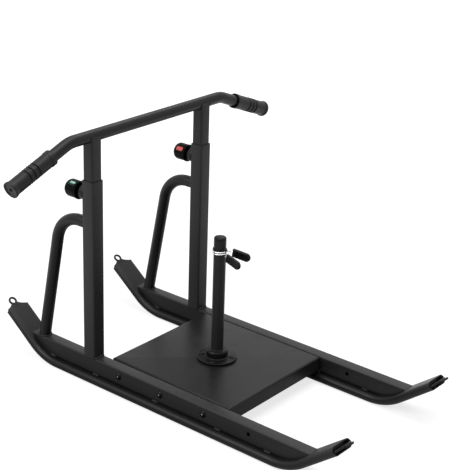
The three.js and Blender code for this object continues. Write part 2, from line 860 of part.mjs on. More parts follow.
// Flat tongue with a round tip, bored for the wire, starting at x = 0
function clipGrip() {
  const inset = clipGripBevel;
  const half = clipGripHeight / 2 - inset;
  const tip = clipGripLength - inset - half;
  const shape = new THREE.Shape();
  shape.moveTo(inset, -half);
  shape.lineTo(tip, -half);
  shape.absarc(tip, 0, half, -Math.PI / 2, Math.PI / 2);
  shape.lineTo(inset, half);
  const core = clipGripThickness - 2 * clipGripBevel;
  const body = new THREE.ExtrudeGeometry(shape, {
    depth: core,
    bevelEnabled: true,
    bevelThickness: clipGripBevel,
    bevelSize: clipGripBevel,
    bevelSegments: 3,
    curveSegments: roundSegments,
  }).translate(0, 0, -core / 2).rotateX(Math.PI / 2);
  const bore = prismAlongX(disc(clipWire / 2 + fit), clipGripBore + overrun, roundSegments / 2)
    .translate((clipGripBore - overrun) / 2, 0, 0);
  return cut(body, [bore]);
}

const sled = new THREE.Group();

function add(name, geometry, material, parent = sled) {
  const mesh = new THREE.Mesh(geometry, material);
  mesh.name = name;
  parent.add(mesh);
  return mesh;
}

// A group that stands at the end of a ski's tube and points along it
function skiEnd(side, end) {
  const run = skiCorner + skiTip * Math.cos(skiRise);
  const rise = skiThickness / 2 + skiTip * Math.sin(skiRise);
  const place = new THREE.Group();
  place.position.set(end * run, side * railPlace, rise);
  place.rotation.set(0, -skiRise, end > 0 ? 0 : Math.PI, 'ZYX');
  sled.add(place);
  return place;
}

for (const [sideName, side] of Object.entries(sides)) {
  add(`${sideName}_ski`, ski(), materials.paint).position.set(0, side * railPlace, skiThickness / 2);
  add(`${sideName}_rail`, rail(), materials.paint).position.set(0, side * railPlace, 0);
  for (const [endName, end] of Object.entries(ends)) {
    const place = skiEnd(side, end);
    add(`${endName}_${sideName}_tow_eye`, towEye(), materials.paint, place);
    add(`${endName}_${sideName}_ski_plug`, skiPlug(), materials.plastic, place);
  }
  add(`${sideName}_sleeve`, sleeve(), materials.paint)
    .position.set(sleevePlace, side * railPlace, sleeveFloor);
  add(`${sideName}_bushing`, bushing(), materials.plastic)
    .position.set(sleevePlace, side * railPlace, sleeveTop + slideFit);
  add(`${sideName}_post`, post(), materials.paint).position.set(sleevePlace, side * railPlace, postFoot);
  add(`${sideName}_low_handle`, lowHandle(), materials.paint).position.set(0, side * railPlace, 0);

  const pull = new THREE.Group();
  pull.position.set(sleeveRear, side * railPlace, pinHeight);
  pull.rotation.y = -Math.PI / 2;
  sled.add(pull);
  add(`${sideName}_pin_housing`, pinHousing(), materials.paint, pull);
  add(`${sideName}_pull_pin`, pullPin(), materials.steel, pull);
  add(`${sideName}_pin_spring`, pinSpring(), materials.steel, pull);
  add(`${sideName}_knob`, knob(sideName), materials.gloss, pull);
  add(`${sideName}_knob_inlay`, inlay(sideName), side > 0 ? materials.red : materials.green, pull);

  const handgrip = add(`${sideName}_grip`, grip(), materials.rubber);
  handgrip.position.set(
    sleevePlace,
    side * (barCorner + gripStart * Math.cos(barDroop)),
    barHeight - gripStart * Math.sin(barDroop),
  );
  handgrip.rotation.x = -side * (Math.PI / 2 + barDroop);

  const { root, turn } = clipGripPlace(sideName);
  const tongue = add(`${sideName}_clip_grip`, clipGrip(), materials.rubber);
  tongue.position.copy(root);
  tongue.rotation.copy(turn);

  // Each deck screw passes through the rail and the deck's flange into its nut
  const screwSeat = railPlace + railWidth / 2 + fit;
  const nutSeat = deckHalfWidth - deckSheet - fit;
  const screwLength = screwSeat - nutSeat + nutHeight + fit + screwEnd;
  deckBoltPlaces().forEach((place, i) => {
    const deckScrew = add(`${sideName}_deck_screw_${i + 1}`, screw(screwLength), materials.blackSteel);
    deckScrew.position.set(place, side * screwSeat, boltHeight);
    deckScrew.rotation.x = -side * Math.PI / 2;
    const deckNut = add(`${sideName}_deck_nut_${i + 1}`, nut(), materials.steel);
    deckNut.position.set(place, side * nutSeat, boltHeight);
    deckNut.rotation.x = side * Math.PI / 2;
  });
}

add('push_bar', pushBar(), materials.paint).position.set(sleevePlace, 0, barHeight);
add('deck', deck(), materials.paint).position.set(0, 0, deckTop - deckFlange);
add('weight_pole_base', poleBase(), materials.paint).position.set(0, 0, flangeFloor);

// Each flange screw passes through the deck into its nut below
const flangeScrewSeat = flangeFloor + flangeThickness + fit;
const flangeNutSeat = deckTop - deckSheet - fit - nutHeight;
const flangeScrewLength = flangeScrewSeat - flangeNutSeat + fit + screwEnd;
flangeBoltPlaces().forEach(([x, y], i) => {
  const flangeScrew = add(`flange_screw_${i + 1}`, screw(flangeScrewLength), materials.blackSteel);
  flangeScrew.position.set(x, y, flangeScrewSeat);
  add(`flange_nut_${i + 1}`, nut(), materials.steel).position.set(x, y, flangeNutSeat);
});

add('weight_pole', pole(), materials.paint).position.set(0, 0, flangeFloor);
add('weight_pole_cap', poleCap(), materials.plastic).position.set(0, 0, poleTop - poleCapDome);
add('clip_coil', clipCoil(), materials.chrome);

export default sled;
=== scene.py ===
import json
import random
from math import ceil, cos, floor, pi, radians, sin, tan

import bmesh
import bpy
import numpy as np
from mathutils import Matrix, Vector


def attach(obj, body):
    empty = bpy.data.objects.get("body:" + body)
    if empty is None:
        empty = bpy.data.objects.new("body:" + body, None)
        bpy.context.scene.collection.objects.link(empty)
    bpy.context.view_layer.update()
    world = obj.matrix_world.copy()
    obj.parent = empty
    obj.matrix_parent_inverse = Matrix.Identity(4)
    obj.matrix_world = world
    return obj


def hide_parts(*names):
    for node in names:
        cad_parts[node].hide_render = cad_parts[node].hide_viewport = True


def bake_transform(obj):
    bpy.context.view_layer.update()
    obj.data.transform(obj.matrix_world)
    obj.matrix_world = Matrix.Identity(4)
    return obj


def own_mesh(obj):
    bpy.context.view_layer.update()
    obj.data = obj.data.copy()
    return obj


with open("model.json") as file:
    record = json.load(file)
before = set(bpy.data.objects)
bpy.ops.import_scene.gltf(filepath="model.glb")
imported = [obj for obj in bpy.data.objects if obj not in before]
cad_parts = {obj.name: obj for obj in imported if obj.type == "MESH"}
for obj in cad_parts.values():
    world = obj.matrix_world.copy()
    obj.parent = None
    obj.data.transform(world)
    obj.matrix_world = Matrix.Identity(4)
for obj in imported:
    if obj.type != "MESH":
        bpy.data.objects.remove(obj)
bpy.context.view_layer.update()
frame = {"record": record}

MM = 0.001
TURN = 2 * pi
QUARTER = TURN / 4
X, Y, Z = Vector((1, 0, 0)), Vector((0, 1, 0)), Vector((0, 0, 1))
SIDES = {"right": -1, "left": 1}
ENDS = {"rear": -1, "front": 1}
record = frame["record"]
body_of = {node: body for body, nodes in record["behaviour"]["bodies"].items() for node in nodes}
slot_of = {part["node"]: part["material_slot"] for part in record["subparts"]}

# Sizes of the sled, in millimetres, as in its solids but for the slimmer eyes and the deck's seam
FIT = 0.3
SKI_WIDTH, SKI_THICKNESS, SKI_WALL = 64, 21, 2
SKI_CORNER, SKI_TIP, SKI_RISE, SKI_BEND = 369.6, 145.6, radians(37.5), 130
SKI_RUN, SKI_LIFT = SKI_CORNER + SKI_TIP * cos(SKI_RISE), SKI_TIP * sin(SKI_RISE)
EYE_WIDTH, EYE_THICKNESS, EYE_INSIDE, EYE_OUTSIDE, EYE_EASE = 56, 4, 22, 4.5, 0.9
EYE_REACH, EYE_RADIUS, EYE_HOLE, EYE_NECK = 21.2, 10.9, 6.3, radians(125)
PLUG_DEPTH, PLUG_RECESS, PLUG_DISH = 12, 1.5, 8
PLUG_WIDTH, PLUG_HEIGHT = SKI_WIDTH - 2 * (SKI_WALL + FIT), SKI_THICKNESS - 2 * (SKI_WALL + FIT)
RAIL_WIDTH, RAIL_HEIGHT, RAIL_WALL, RAIL_CORNER = 30, 40, 2, 3
RAIL_PLACE = 185
RAIL_FLOOR = SKI_THICKNESS + FIT
RAIL_TOP = RAIL_FLOOR + RAIL_HEIGHT
RAIL_REACH = SKI_CORNER + 80  # the ski's curve ends each rail within this
BOLT_HEIGHT, BOLT_PITCH, ACCESSORY_HOLE = RAIL_TOP - 17.6, 128, 4.75
DECK_LENGTH, DECK_TOP, DECK_FLANGE, DECK_SHEET, DECK_BEND = 357, RAIL_TOP + 1, 34, 2, 5
DECK_HALF = RAIL_PLACE - RAIL_WIDTH / 2 - FIT
DECK_SEAM = 2.6  # the sheet is narrower than its solid by this much beside each rail
SLEEVE_WIDTH, SLEEVE_WALL, SLEEVE_CORNER = 35, 1.5, 4
SLEEVE_TOP, SLEEVE_X = 496, -221.0
SLEEVE_FLOOR = RAIL_TOP + FIT
SLEEVE_REAR = SLEEVE_X - SLEEVE_WIDTH / 2
BUSHING_DEPTH, BUSHING_LIP, BUSHING_DRAW = 18, 1.6, 3.4
POST_WIDTH, POST_WALL, POST_CORNER, POST_FOOT = 30, 2, 4, 298.5
PIN_HEIGHT, HOLE_PITCH, PIN_HOLE = 463.5, 25, 4.3
BAR_RADIUS, BAR_HEIGHT, BAR_CORNER, BAR_DROOP, BAR_BEND = 14, 600.5, 254, radians(20.9), 80
BAR_WALL, BAR_SHORT = 2, 5.3
GRIP_START, GRIP_LENGTH, GRIP_RADIUS, GRIP_COLLAR, GRIP_FLANGE = 56.5, 127, 17.5, 18.5, 19.7
GRIP_SHOULDER, GRIP_FLARE = 14, 13
GROOVE_SHARES = (0.375, 0.51, 0.645)
HANDLE_RADIUS, HANDLE_FOOT, HANDLE_TOP = 14, -387.5, 390.5
HANDLE_LEAN, HANDLE_BEND = radians(10.9), 75
POLE_RADIUS, POLE_WALL, POLE_TOP = 14.5, 3, 369
CAP_DEPTH, CAP_HEAD, CAP_CORNER = 20, 6.1, 4
FLANGE_RADIUS, FLANGE_PLATE, COLLAR_RADIUS, COLLAR_TOP = 47.5, 5, 26, 23
FLANGE_FLOOR = DECK_TOP + FIT
FLANGE_BOLTS, FLANGE_TURN = 37, radians(25)
SCREW_RADIUS, HEAD_RADIUS, NUT_RADIUS, NUT_HEIGHT = 4, 7, 7.5, 6.5
SCREW_SEAT = RAIL_PLACE + RAIL_WIDTH / 2 + FIT
NUT_SEAT = DECK_HALF - DECK_SHEET - FIT
SPRING_RADIUS, SPRING_WIRE, SPRING_LOW, SPRING_HIGH, SPRING_SEAT, SPRING_TURNS = 5.25, 1.2, 3.2, 27.1, 27.7, 6
KNOB_START, KNOB_LENGTH, KNOB_RADIUS, KNOB_RIM, KNOB_COLLAR = 20, 37, 21, 21.5, 5
INLAY_LENGTH, INLAY_WIDTH, INLAY_DEPTH, INLAY_CORNER, INLAY_SHARE = 19, 11, 3, 3, 0.36
INLAY_TURN = {"right": radians(35), "left": radians(54)}
CLIP_WIRE, CLIP_TURNS, CLIP_LEAVE, CLIP_BASE, CLIP_PITCH = 3.3, 3, radians(35), 327.5, 4.8
CLIP_REACH, CLIP_SPREAD, CLIP_SPLAY, CLIP_BORE = 29, 10.5, radians(9.6), 16
CLIP_DROOP = {"right": radians(10), "left": radians(7)}
CLIP_RISE = {"right": 0.2, "left": 1.66}
CLIP_DARKENED, CLIP_SLIM, CLIP_TALL = 0.86, 0.62, 1.15  # turns of wire at the top drawn dark in black vinyl, for a dark band that is partly the dark pole mirrored in the chrome, and how their section is drawn
TONGUE_LENGTH, TONGUE_HEIGHT, TONGUE_THICKNESS, TONGUE_EASE = 46, 20, 8, 2.4

# Weld beads: how far the middle line lies from the faces, half its length and its radius
STITCHES, STITCH_OFF, STITCH_LIFT, STITCH_HALF, STITCH_BEAD = (-344, -201, -13, 171, 309), 0.4, 0.6, 9, 2.9
STITCH_CURVE, STITCH_EASE = 325, 280  # the stitches beyond this follow the ski's bend
FOOT_OFF, FOOT_LIFT, FOOT_HALF, FOOT_BEAD = 0.4, 0.6, 15, 3.0
FLANK_OFF, FLANK_DROP, FLANK_HALF, FLANK_BEAD = 0.9, 0.6, 16, 1.5
SADDLE_OFF, SADDLE_GAP, SADDLE_BEAD = 0.4, 0.3, 1.7
BESIDE_OFF, BESIDE_DROP, BESIDE_HALF, BESIDE_BEAD = 0.5, 0.5, 15, 1.4
HOUSING_WELD, HOUSING_BEAD = 17.3, 1.7
HANDLE_TOP_OFF, HANDLE_TOP_BEAD = 0.4, 2.3
HANDLE_FOOT_OFF, HANDLE_FOOT_LIFT, HANDLE_FOOT_BEAD = 0.3, 0.5, 2.4
COLLAR_OFF, COLLAR_LIFT, COLLAR_BEAD = 0.3, 0.2, 1.9
POLE_OFF, POLE_BEAD = 0.8, 1.5
BEAD_STEP, BEAD_PITCH, BEAD_SIDES = 0.75, 2.7, 10

# Outlines of turned pieces, from radius, height and maybe the rounding of the corner
BASE_OUTLINE = [
    (POLE_RADIUS + 0.2, 0), (FLANGE_RADIUS, 0, 0.4), (FLANGE_RADIUS, FLANGE_PLATE, 1.2),
    (COLLAR_RADIUS, FLANGE_PLATE, 1.6), (COLLAR_RADIUS, COLLAR_TOP - 3, 0.8),
    (COLLAR_RADIUS - 2.6, COLLAR_TOP, 0.8), (POLE_RADIUS + 0.2, COLLAR_TOP),
]
HOUSING_OUTLINE = [
    (6.5, 0.2), (17.5, 0.2, 0.4), (17.5, 11, 1.2), (16, 12, 0.8), (11, 12.2, 1), (10, 13.5, 1), (10, 30, 0.6),
    (9, 31, 0.4), (PIN_HOLE, 31), (PIN_HOLE, 28), (6.5, 28),
]
PIN_OUTLINE = [
    (0, -9), (3.4, -9, 0.3), (4, -8, 0.5), (4, 0.3), (6.2, 0.3, 0.3), (6.2, 2.3, 0.3), (4, 2.3),
    (4, 49.7), (0, 49.7),
]
KNOB_BORE = [(0, 50), (PIN_HOLE, 50), (PIN_HOLE, 31.6), (10.6, 31.6), (10.6, KNOB_START)]
# Height and change of width of a bushing's rings, from the sleeve's top
BUSHING_OUTLINE = (
    (-BUSHING_DEPTH, -BUSHING_DRAW), (0, -BUSHING_DRAW), (0, 0), (0.9, 0), (1.35, -0.35), (BUSHING_LIP, -1.0),
)
# Depth and inset of a plug's rings, from its back over the rim to the floor of its cup
PLUG_OUTLINE = ((PLUG_DEPTH, 0), (1.0, 0), (0.3, 0.25), (0, 0.7), (0.3, 1.2), (8.6, 1.8), (9, 2.2))
# Radius, half width and rounding of a groove's corners, over its lip to its floor
GROOVE_OUTLINE = ((GRIP_RADIUS, 5, 1), (GRIP_RADIUS + 0.6, 3.2, 0.7), (GRIP_RADIUS - 3, 1.5, 0.5))


# Mesh helpers: every shape is a list of points in millimetres and a list of faces
def add_object(name, data):
    made = bpy.data.objects.new(name, data)
    bpy.context.scene.collection.objects.link(made)
    return made


def paint(piece, material):
    piece.data.materials.clear()
    piece.data.materials.append(material)


def smooth(piece, sharp):
    """Smooth shading, with a hard edge where faces meet at more than sharp degrees."""
    piece.data.shade_smooth()
    piece.data.set_sharp_from_angle(angle=radians(sharp))


def build(name, shape, material, matrix=None, sharp=32):
    """A mesh object from a shape, with its normals outside."""
    points, faces = shape
    mesh = bpy.data.meshes.new(name)
    mesh.from_pydata([Vector(p) * MM for p in points], [], faces)
    if matrix is not None:
        mesh.transform(Matrix.Scale(MM, 4) @ matrix @ Matrix.Scale(1 / MM, 4))
    bm = bmesh.new()
    bm.from_mesh(mesh)
    bmesh.ops.remove_doubles(bm, verts=bm.verts, dist=1e-6)
    bmesh.ops.recalc_face_normals(bm, faces=bm.faces)
    bm.to_mesh(mesh)
    bm.free()
    piece = add_object(name, mesh)
    paint(piece, material)
    smooth(piece, sharp)
    return piece


def combine(piece, operation, other):
    """Cuts the piece by another one, or keeps what the two share, and takes the other one away."""
    modifier = piece.modifiers.new("combine", "BOOLEAN")
    modifier.operation, modifier.solver, modifier.object = operation, "EXACT", other
    bpy.context.view_layer.update()
    evaluated = piece.evaluated_get(bpy.context.evaluated_depsgraph_get())
    mesh = bpy.data.meshes.new_from_object(evaluated)
    piece.modifiers.clear()
    piece.data = mesh
    mesh.name = piece.name
    bpy.data.objects.remove(other)


def place(node, shape, matrix=None, extra="", sharp=32, material=None, cuts=()):
    """A fine piece that stands for a node of the frame, on the node's body and in the material of its slot.
    """
    piece = build(node + "_fine" + extra, shape, material or paints[slot_of[node]], matrix, sharp)
    for tool in cuts:
        combine(piece, "DIFFERENCE", build("cutter", tool, paints[slot_of[node]]))
    smooth(piece, sharp)
    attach(piece, body_of[node])
    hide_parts(node)
    return piece


def detail(name, shape, node, matrix=None, sharp=60, material=None):
    """A piece that the solids leave out, on the body of the node that it belongs to."""
    piece = build(name, shape, material or paints[slot_of[node]], matrix, sharp)
    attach(piece, body_of[node])
    return piece


def at(x, y, z):
    return Matrix.Translation((x, y, z))


def shifted(shape, matrix):
    return [matrix @ Vector(p) for p in shape[0]], shape[1]


def arc(radius, start, end, steps, centre=(0, 0)):
    angles = np.linspace(start, end, steps + 1)
    return [(centre[0] + radius * cos(a), centre[1] + radius * sin(a)) for a in angles]


def circle(radius, steps, centre=(0, 0)):
    return arc(radius, 0, TURN, steps, centre)[:-1]


def rounded_box(width, height, corner, steps=6):
    x, y = width / 2 - corner, height / 2 - corner
    return [
        *arc(corner, -QUARTER, 0, steps, (x, -y)),
        *arc(corner, 0, QUARTER, steps, (x, y)),
        *arc(corner, QUARTER, 2 * QUARTER, steps, (-x, y)),
        *arc(corner, 2 * QUARTER, 3 * QUARTER, steps, (-x, -y)),
    ]


def hollow(width, height, corner, wall, inner_corner=None, steps=6):
    """The outer and inner outline of a rectangular tube."""
    inner_corner = inner_corner or corner - wall / 2
    inside = rounded_box(width - 2 * wall, height - 2 * wall, inner_corner, steps)
    return rounded_box(width, height, corner, steps), inside


def fillet(points, steps):
    """Rounds each corner of an outline that is given with a third number, its radius."""
    out = []
    for i, point in enumerate(points):
        here = Vector(point[:2])
        if len(point) < 3 or i in (0, len(points) - 1):
            out.append(tuple(here))
            continue
        into = (here - Vector(points[i - 1][:2])).normalized()
        on = (Vector(points[i + 1][:2]) - here).normalized()
        turn = into.angle_signed(on)
        if abs(turn) < 1e-3:
            out.append(tuple(here))
            continue
        reach = point[2] * tan(abs(turn) / 2)
        a, b = here - into * reach, here + on * reach
        for j in range(steps + 1):
            t = j / steps
            out.append(tuple(a.lerp(here, t).lerp(here.lerp(b, t), t)))
    return out


def turned(outline, steps):
    """A piece turned about Z from (radius, height) points; an outline off the axis closes on itself."""
    points, rings = [], []
    for radius, height in outline:
        if radius < 1e-6:
            rings.append([len(points)])
            points.append((0, 0, height))
        else:
            rings.append(list(range(len(points), len(points) + steps)))
            points += [(x, y, height) for x, y in circle(radius, steps)]
    if outline[0][0] > 1e-6:
        rings.append(rings[0])
    faces = []
    for low, high in zip(rings, rings[1:]):
        for i in range(steps):
            j = (i + 1) % steps
            quad = [low[i % len(low)], low[j % len(low)], high[j % len(high)], high[i % len(high)]]
            faces.append([v for n, v in enumerate(quad) if v not in quad[:n]])
    return points, [f for f in faces if len(f) > 2]


def loops(rings, close=False):
    """A skin over rings of equally many points, closed by flat ends or onto its first ring."""
    count = len(rings[0])
    points = [p for ring in rings for p in ring]
    spans = len(rings) if close else len(rings) - 1
    faces = []
    for k in range(spans):
        low, high = k * count, ((k + 1) % len(rings)) * count
        for i in range(count):
            j = (i + 1) % count
            faces.append([low + i, low + j, high + j, high + i])
    if not close:
        faces += [list(range(count))[::-1], list(range(len(points) - count, len(points)))]
    return points, faces


def tube(stations, outer, inner=None):
    """A tube through stations, each an origin and two directions, from a section and maybe a bore."""
    def ring(station, section):
        origin, across, up = station
        return [origin + across * a + up * b for a, b in section]

    rings = [ring(s, outer) for s in stations]
    if inner is None:
        return loops(rings)
    return loops(rings + [ring(s, inner) for s in reversed(stations)], close=True)


def straight(start, end, across, up, outer, inner=None):
    return tube([(Vector(start), across, up), (Vector(end), across, up)], outer, inner)


def bent(corners, radius, normal, facet):
    """Stations along straight runs with an arc at each inner corner, square to the plane of the route."""
    corners = [Vector(c) for c in corners]
    route = [(corners[0], (corners[1] - corners[0]).normalized())]
    for before, here, after in zip(corners, corners[1:], corners[2:]):
        into, on = (here - before).normalized(), (after - here).normalized()
        turn = into.angle(on)
        centre = here + (on - into).normalized() * (radius / cos(turn / 2))
        spoke = here - into * (radius * tan(turn / 2)) - centre
        axis = into.cross(on).normalized()
        steps = ceil(turn / facet)
        for i in range(steps + 1):
            spin = Matrix.Rotation(turn * i / steps, 3, axis)
            route.append((centre + spin @ spoke, spin @ into))
    route.append((corners[-1], route[-1][1]))
    return [(point, normal.cross(tangent), normal) for point, tangent in route]


def curved(points, closed=False):
    """Stations along a line in space, with sections carried along it without twist."""
    points = [Vector(p) for p in points]
    stations, across, last = [], None, len(points) - 1
    for i, point in enumerate(points):
        if closed:
            before, after = points[i - 1], points[(i + 1) % len(points)]
        else:
            before, after = points[max(i - 1, 0)], points[min(i + 1, last)]
        tangent = (after - before).normalized()
        if across is None:
            across = tangent.orthogonal().normalized()
        across = (across - tangent * across.dot(tangent)).normalized()
        stations.append((point, across, tangent.cross(across)))
    return stations


def spun_to_meet(rings):
    """Spreads the turn between the first and last ring of a closed line over all of it, so that they meet."""
    first, last, count = rings[0], rings[-1], len(rings[0])

    def gap(shift):
        return sum((first[i] - last[(i + shift) % count]).length for i in range(count))

    shift = min(range(count), key=gap)
    if shift > count / 2:
        shift -= count
    out = []
    for n, ring in enumerate(rings):
        turn = shift * n / (len(rings) - 1)
        whole, part = floor(turn), turn - floor(turn)
        pairs = [(ring[(i + whole) % count], ring[(i + whole + 1) % count]) for i in range(count)]
        out.append([a.lerp(b, part) for a, b in pairs])
    return out


def resample(points, step, closed):
    """The same line with points at even steps."""
    points = [Vector(p) for p in points]
    if closed:
        points.append(points[0])
    lengths = np.cumsum([0] + [(b - a).length for a, b in zip(points, points[1:])])
    count = max(2, round(lengths[-1] / step))
    wanted = np.linspace(0, lengths[-1], count + 1)
    xyz = np.array([list(p) for p in points])
    line = np.stack([np.interp(wanted, lengths, xyz[:, k]) for k in range(3)], axis=1)
    return [Vector(p) for p in (line[:-1] if closed else line)]


def bead(name, node, points, radius, closed=True):
    """A weld bead along a line, with the ripples that its pools leave; an open one tapers at its ends."""
    dice = random.Random(name)
    line = resample(points, BEAD_STEP, closed)
    rings = []
    for i, (spot, across, up) in enumerate(curved(line, closed)):
        phase = (i * BEAD_STEP / BEAD_PITCH) % 1
        size = radius * (0.86 + 0.2 * phase ** 0.6 + 0.05 * dice.uniform(-1, 1))
        if not closed:
            size *= min(1, 0.45 + 0.2 * min(i, len(line) - 1 - i))
        rings.append([spot + across * a + up * b for a, b in circle(size, BEAD_SIDES)])
    return detail(name, loops(spun_to_meet(rings), close=True) if closed else loops(rings), node)


def ring_of(radius, centre, across, up, stretch=1.0):
    """A closed line round a centre, in the plane of two directions."""
    return [Vector(centre) + across * (stretch * a) + up * b for a, b in circle(radius, 48)]


# Materials
def feed(tree, value, socket):
    """Links a node's output to a socket, or sets the socket to a plain value."""
    if isinstance(value, bpy.types.NodeSocket):
        tree.links.new(value, socket)
    else:
        socket.default_value = value


def operate(tree, kind, operation, *values):
    """A math node that is fed with outputs or plain values."""
    made = tree.nodes.new(kind)
    made.operation = operation
    for value, socket in zip(values, made.inputs):
        feed(tree, value, socket)
    return made.outputs


def ramp(tree, source, low, high, a, b):
    """Runs from a to b as the source runs from low to high."""
    made = tree.nodes.new("ShaderNodeMapRange")
    for value, socket in zip((source, low, high, a, b), made.inputs):
        feed(tree, value, socket)
    return made.outputs[0]


class Finish:
    """A node material: fine grain, a slower change of tone and roughness, and a painted highlight where edges
    stand out.
    """

    CLOUD = (0.3, 0.7)  # this part of a slow noise makes the whole change of tone
    SPECK = (0.62, 0.72)  # and this part of a fine one makes the specks
    EDGE_LIGHT_FULL = 0.62  # at this pointiness an edge has its full painted highlight

    def __init__(self, name, colour, roughness, metallic=0.0, specular=0.5):
        self.material = bpy.data.materials.new(name)
        self.material.use_nodes = True
        self.tree = self.material.node_tree
        self.shader = self.tree.nodes["Principled BSDF"]
        self.shader.inputs["Metallic"].default_value = metallic
        self.shader.inputs["Specular IOR Level"].default_value = specular
        self.where = self.tree.nodes.new("ShaderNodeTexCoord").outputs["Object"]
        self.colour, self.roughness = colour, roughness
        self.height = None

    def noise(self, scale, detail):
        made = self.tree.nodes.new("ShaderNodeTexNoise")
        made.inputs["Scale"].default_value = scale
        made.inputs["Detail"].default_value = detail
        self.tree.links.new(self.where, made.inputs["Vector"])
        return made.outputs["Fac"]

    def mix(self, factor, a, b):
        made = self.tree.nodes.new("ShaderNodeMix")
        made.data_type = "RGBA"
        for socket, value in ((made.inputs[6], a), (made.inputs[7], b)):
            feed(self.tree, value if isinstance(value, bpy.types.NodeSocket) else (*value, 1), socket)
        self.tree.links.new(factor, made.inputs[0])
        return made.outputs[2]

    def tone(self, scale, spread):
        """Slow change of tone and roughness over the surface."""
        cloud = ramp(self.tree, self.noise(scale, 3.0), *self.CLOUD, 0, 1)
        dark = [c * (1 - spread) for c in self.colour]
        light = [c * (1 + spread) for c in self.colour]
        self.shade = self.mix(cloud, dark, light)
        other = self.noise(scale * 2.3, 3.0)
        rough = ramp(self.tree, other, *self.CLOUD, self.roughness - 0.05, self.roughness + 0.05)
        self.tree.links.new(rough, self.shader.inputs["Roughness"])

    def specks(self, scale, colour, amount):
        """Fine specks of another tone."""
        spots = ramp(self.tree, self.noise(scale, 1.0), *self.SPECK, 0, amount)
        self.shade = self.mix(spots, self.shade, colour)

    def edge_highlight(self, colour, amount, start=0.53):
        """Painted highlight: edges that stand out get a lighter tone, from this much pointiness on."""
        pointed = self.tree.nodes.new("ShaderNodeNewGeometry").outputs["Pointiness"]
        self.shade = self.mix(ramp(self.tree, pointed, start, self.EDGE_LIGHT_FULL, 0, amount), self.shade, colour)

    def fade(self, axis, start, end, colour):
        """Painted shade and highlight: runs from another colour at the start of a span of one axis to the
        shade at its end.
        """
        apart = self.tree.nodes.new("ShaderNodeSeparateXYZ")
        self.tree.links.new(self.where, apart.inputs[0])
        self.shade = self.mix(ramp(self.tree, apart.outputs[axis], start, end, 0, 1), colour, self.shade)

    def relief(self, scale, distance, strength, detail=2.0):
        bump = self.tree.nodes.new("ShaderNodeBump")
        bump.inputs["Strength"].default_value = strength
        bump.inputs["Distance"].default_value = distance
        self.tree.links.new(self.noise(scale, detail), bump.inputs["Height"])
        if self.height is not None:
            self.tree.links.new(self.height, bump.inputs["Normal"])
        self.height = bump.outputs["Normal"]

    def done(self):
        self.tree.links.new(self.shade, self.shader.inputs["Base Color"])
        if self.height is not None:
            self.tree.links.new(self.height, self.shader.inputs["Normal"])
        return self.material


def powder_coat(name, level, specular):
    f = Finish(name, (level, level, level * 1.07), roughness=0.36, specular=specular)
    f.tone(scale=9, spread=0.12)
    f.specks(scale=1900, colour=(0.022, 0.022, 0.023), amount=0.35)
    # Painted highlight: a lighter tone on the edges of the coat that stand out
    f.edge_highlight(colour=(0.045, 0.045, 0.046), amount=0.45)
    f.relief(scale=900, distance=0.00012, strength=0.35)
    f.relief(scale=2600, distance=0.00005, strength=0.3)
    return f.done()


def moulded(name, colour, roughness, specular, grain=1400, mottle=0.0, edge_light=0.25, edge_light_from=0.53):
    f = Finish(name, colour, roughness, specular=specular)
    if mottle:
        f.relief(scale=230, distance=mottle, strength=0.6, detail=3.0)
    f.tone(scale=30, spread=0.12)
    f.specks(scale=grain * 1.7, colour=[c * 1.6 for c in colour], amount=0.4)
    # Painted highlight on the edges that stand out
    f.edge_highlight(colour=[c * 8 * edge_light for c in colour], amount=edge_light, start=edge_light_from)
    f.relief(scale=grain, distance=0.00008, strength=0.4)
    return f.done()


# A polished finish. Given a low colour and spans, it fades from that low colour, a painted shade, to its own
# colour, a painted highlight, along each span; without them its standing edges get painted glints.
def polished(name, colour, specular=0.25, low=None, spans=()):
    f = Finish(name, colour, roughness=0.14, specular=specular)
    f.tone(scale=60, spread=0.08)
    for axis, start, end in spans:
        f.fade(axis, start, end, low)
    # Painted highlight: glints on the edges of the knob that stand out
    if low is None:
        f.edge_highlight(colour=(0.03, 0.04, 0.036), amount=0.5, start=0.54)
    f.relief(scale=160, distance=0.00006, strength=0.15)
    return f.done()


def bright_metal(name, colour, roughness, scale=700):
    f = Finish(name, colour, roughness, metallic=1.0)
    f.tone(scale=40, spread=0.05)
    f.specks(scale=scale * 3, colour=[c * 0.8 for c in colour], amount=0.2)
    f.relief(scale=scale, distance=0.00003, strength=0.2)
    return f.done()


paints = {
    "black_paint": powder_coat("black powder coat", level=0.0068, specular=0.22),
    "black_plastic": moulded("black moulded plastic", (0.008, 0.008, 0.0085), 0.4, specular=0.3),
    "grip_rubber": moulded("grip rubber", (0.009, 0.009, 0.0094), 0.42, specular=0.24, grain=900,
                           mottle=0.0005),
    # The clip vinyl's strong edge lightening paints highlight lines along its eased edges
    "clip_rubber": moulded("clip vinyl", (0.004, 0.004, 0.0043), 0.26, specular=0.13, grain=1100, edge_light=0.9,
                           edge_light_from=0.5),
    "knob_gloss": polished("knob gloss", (0.001, 0.0016, 0.0014), specular=0.07),
    # The inlays carry painted light: each fades from a dark painted shade low on it to its own light colour,
    # a painted highlight, higher up, and the green one also fades towards the sleeve.
    "inlay_green": polished("inlay green", (0.33, 0.64, 0.5), low=(0.002, 0.022, 0.013),
                            spans=(("X", -0.2825, -0.2775), ("Z", 0.4795, 0.4808))),
    "inlay_red": polished("inlay red", (0.64, 0.1, 0.1), low=(0.16, 0.012, 0.012),
                          spans=(("Z", 0.4695, 0.4735),)),
    "clip_chrome": bright_metal("clip chrome", (0.95, 0.95, 0.96), 0.08, scale=400),
    "bright_steel": bright_metal("zinc steel", (0.55, 0.55, 0.56), 0.32),
    "black_screw": bright_metal("black oxide", (0.012, 0.012, 0.013), 0.16),
}
post_paint = powder_coat("dark powder coat", level=0.0042, specular=0.145)

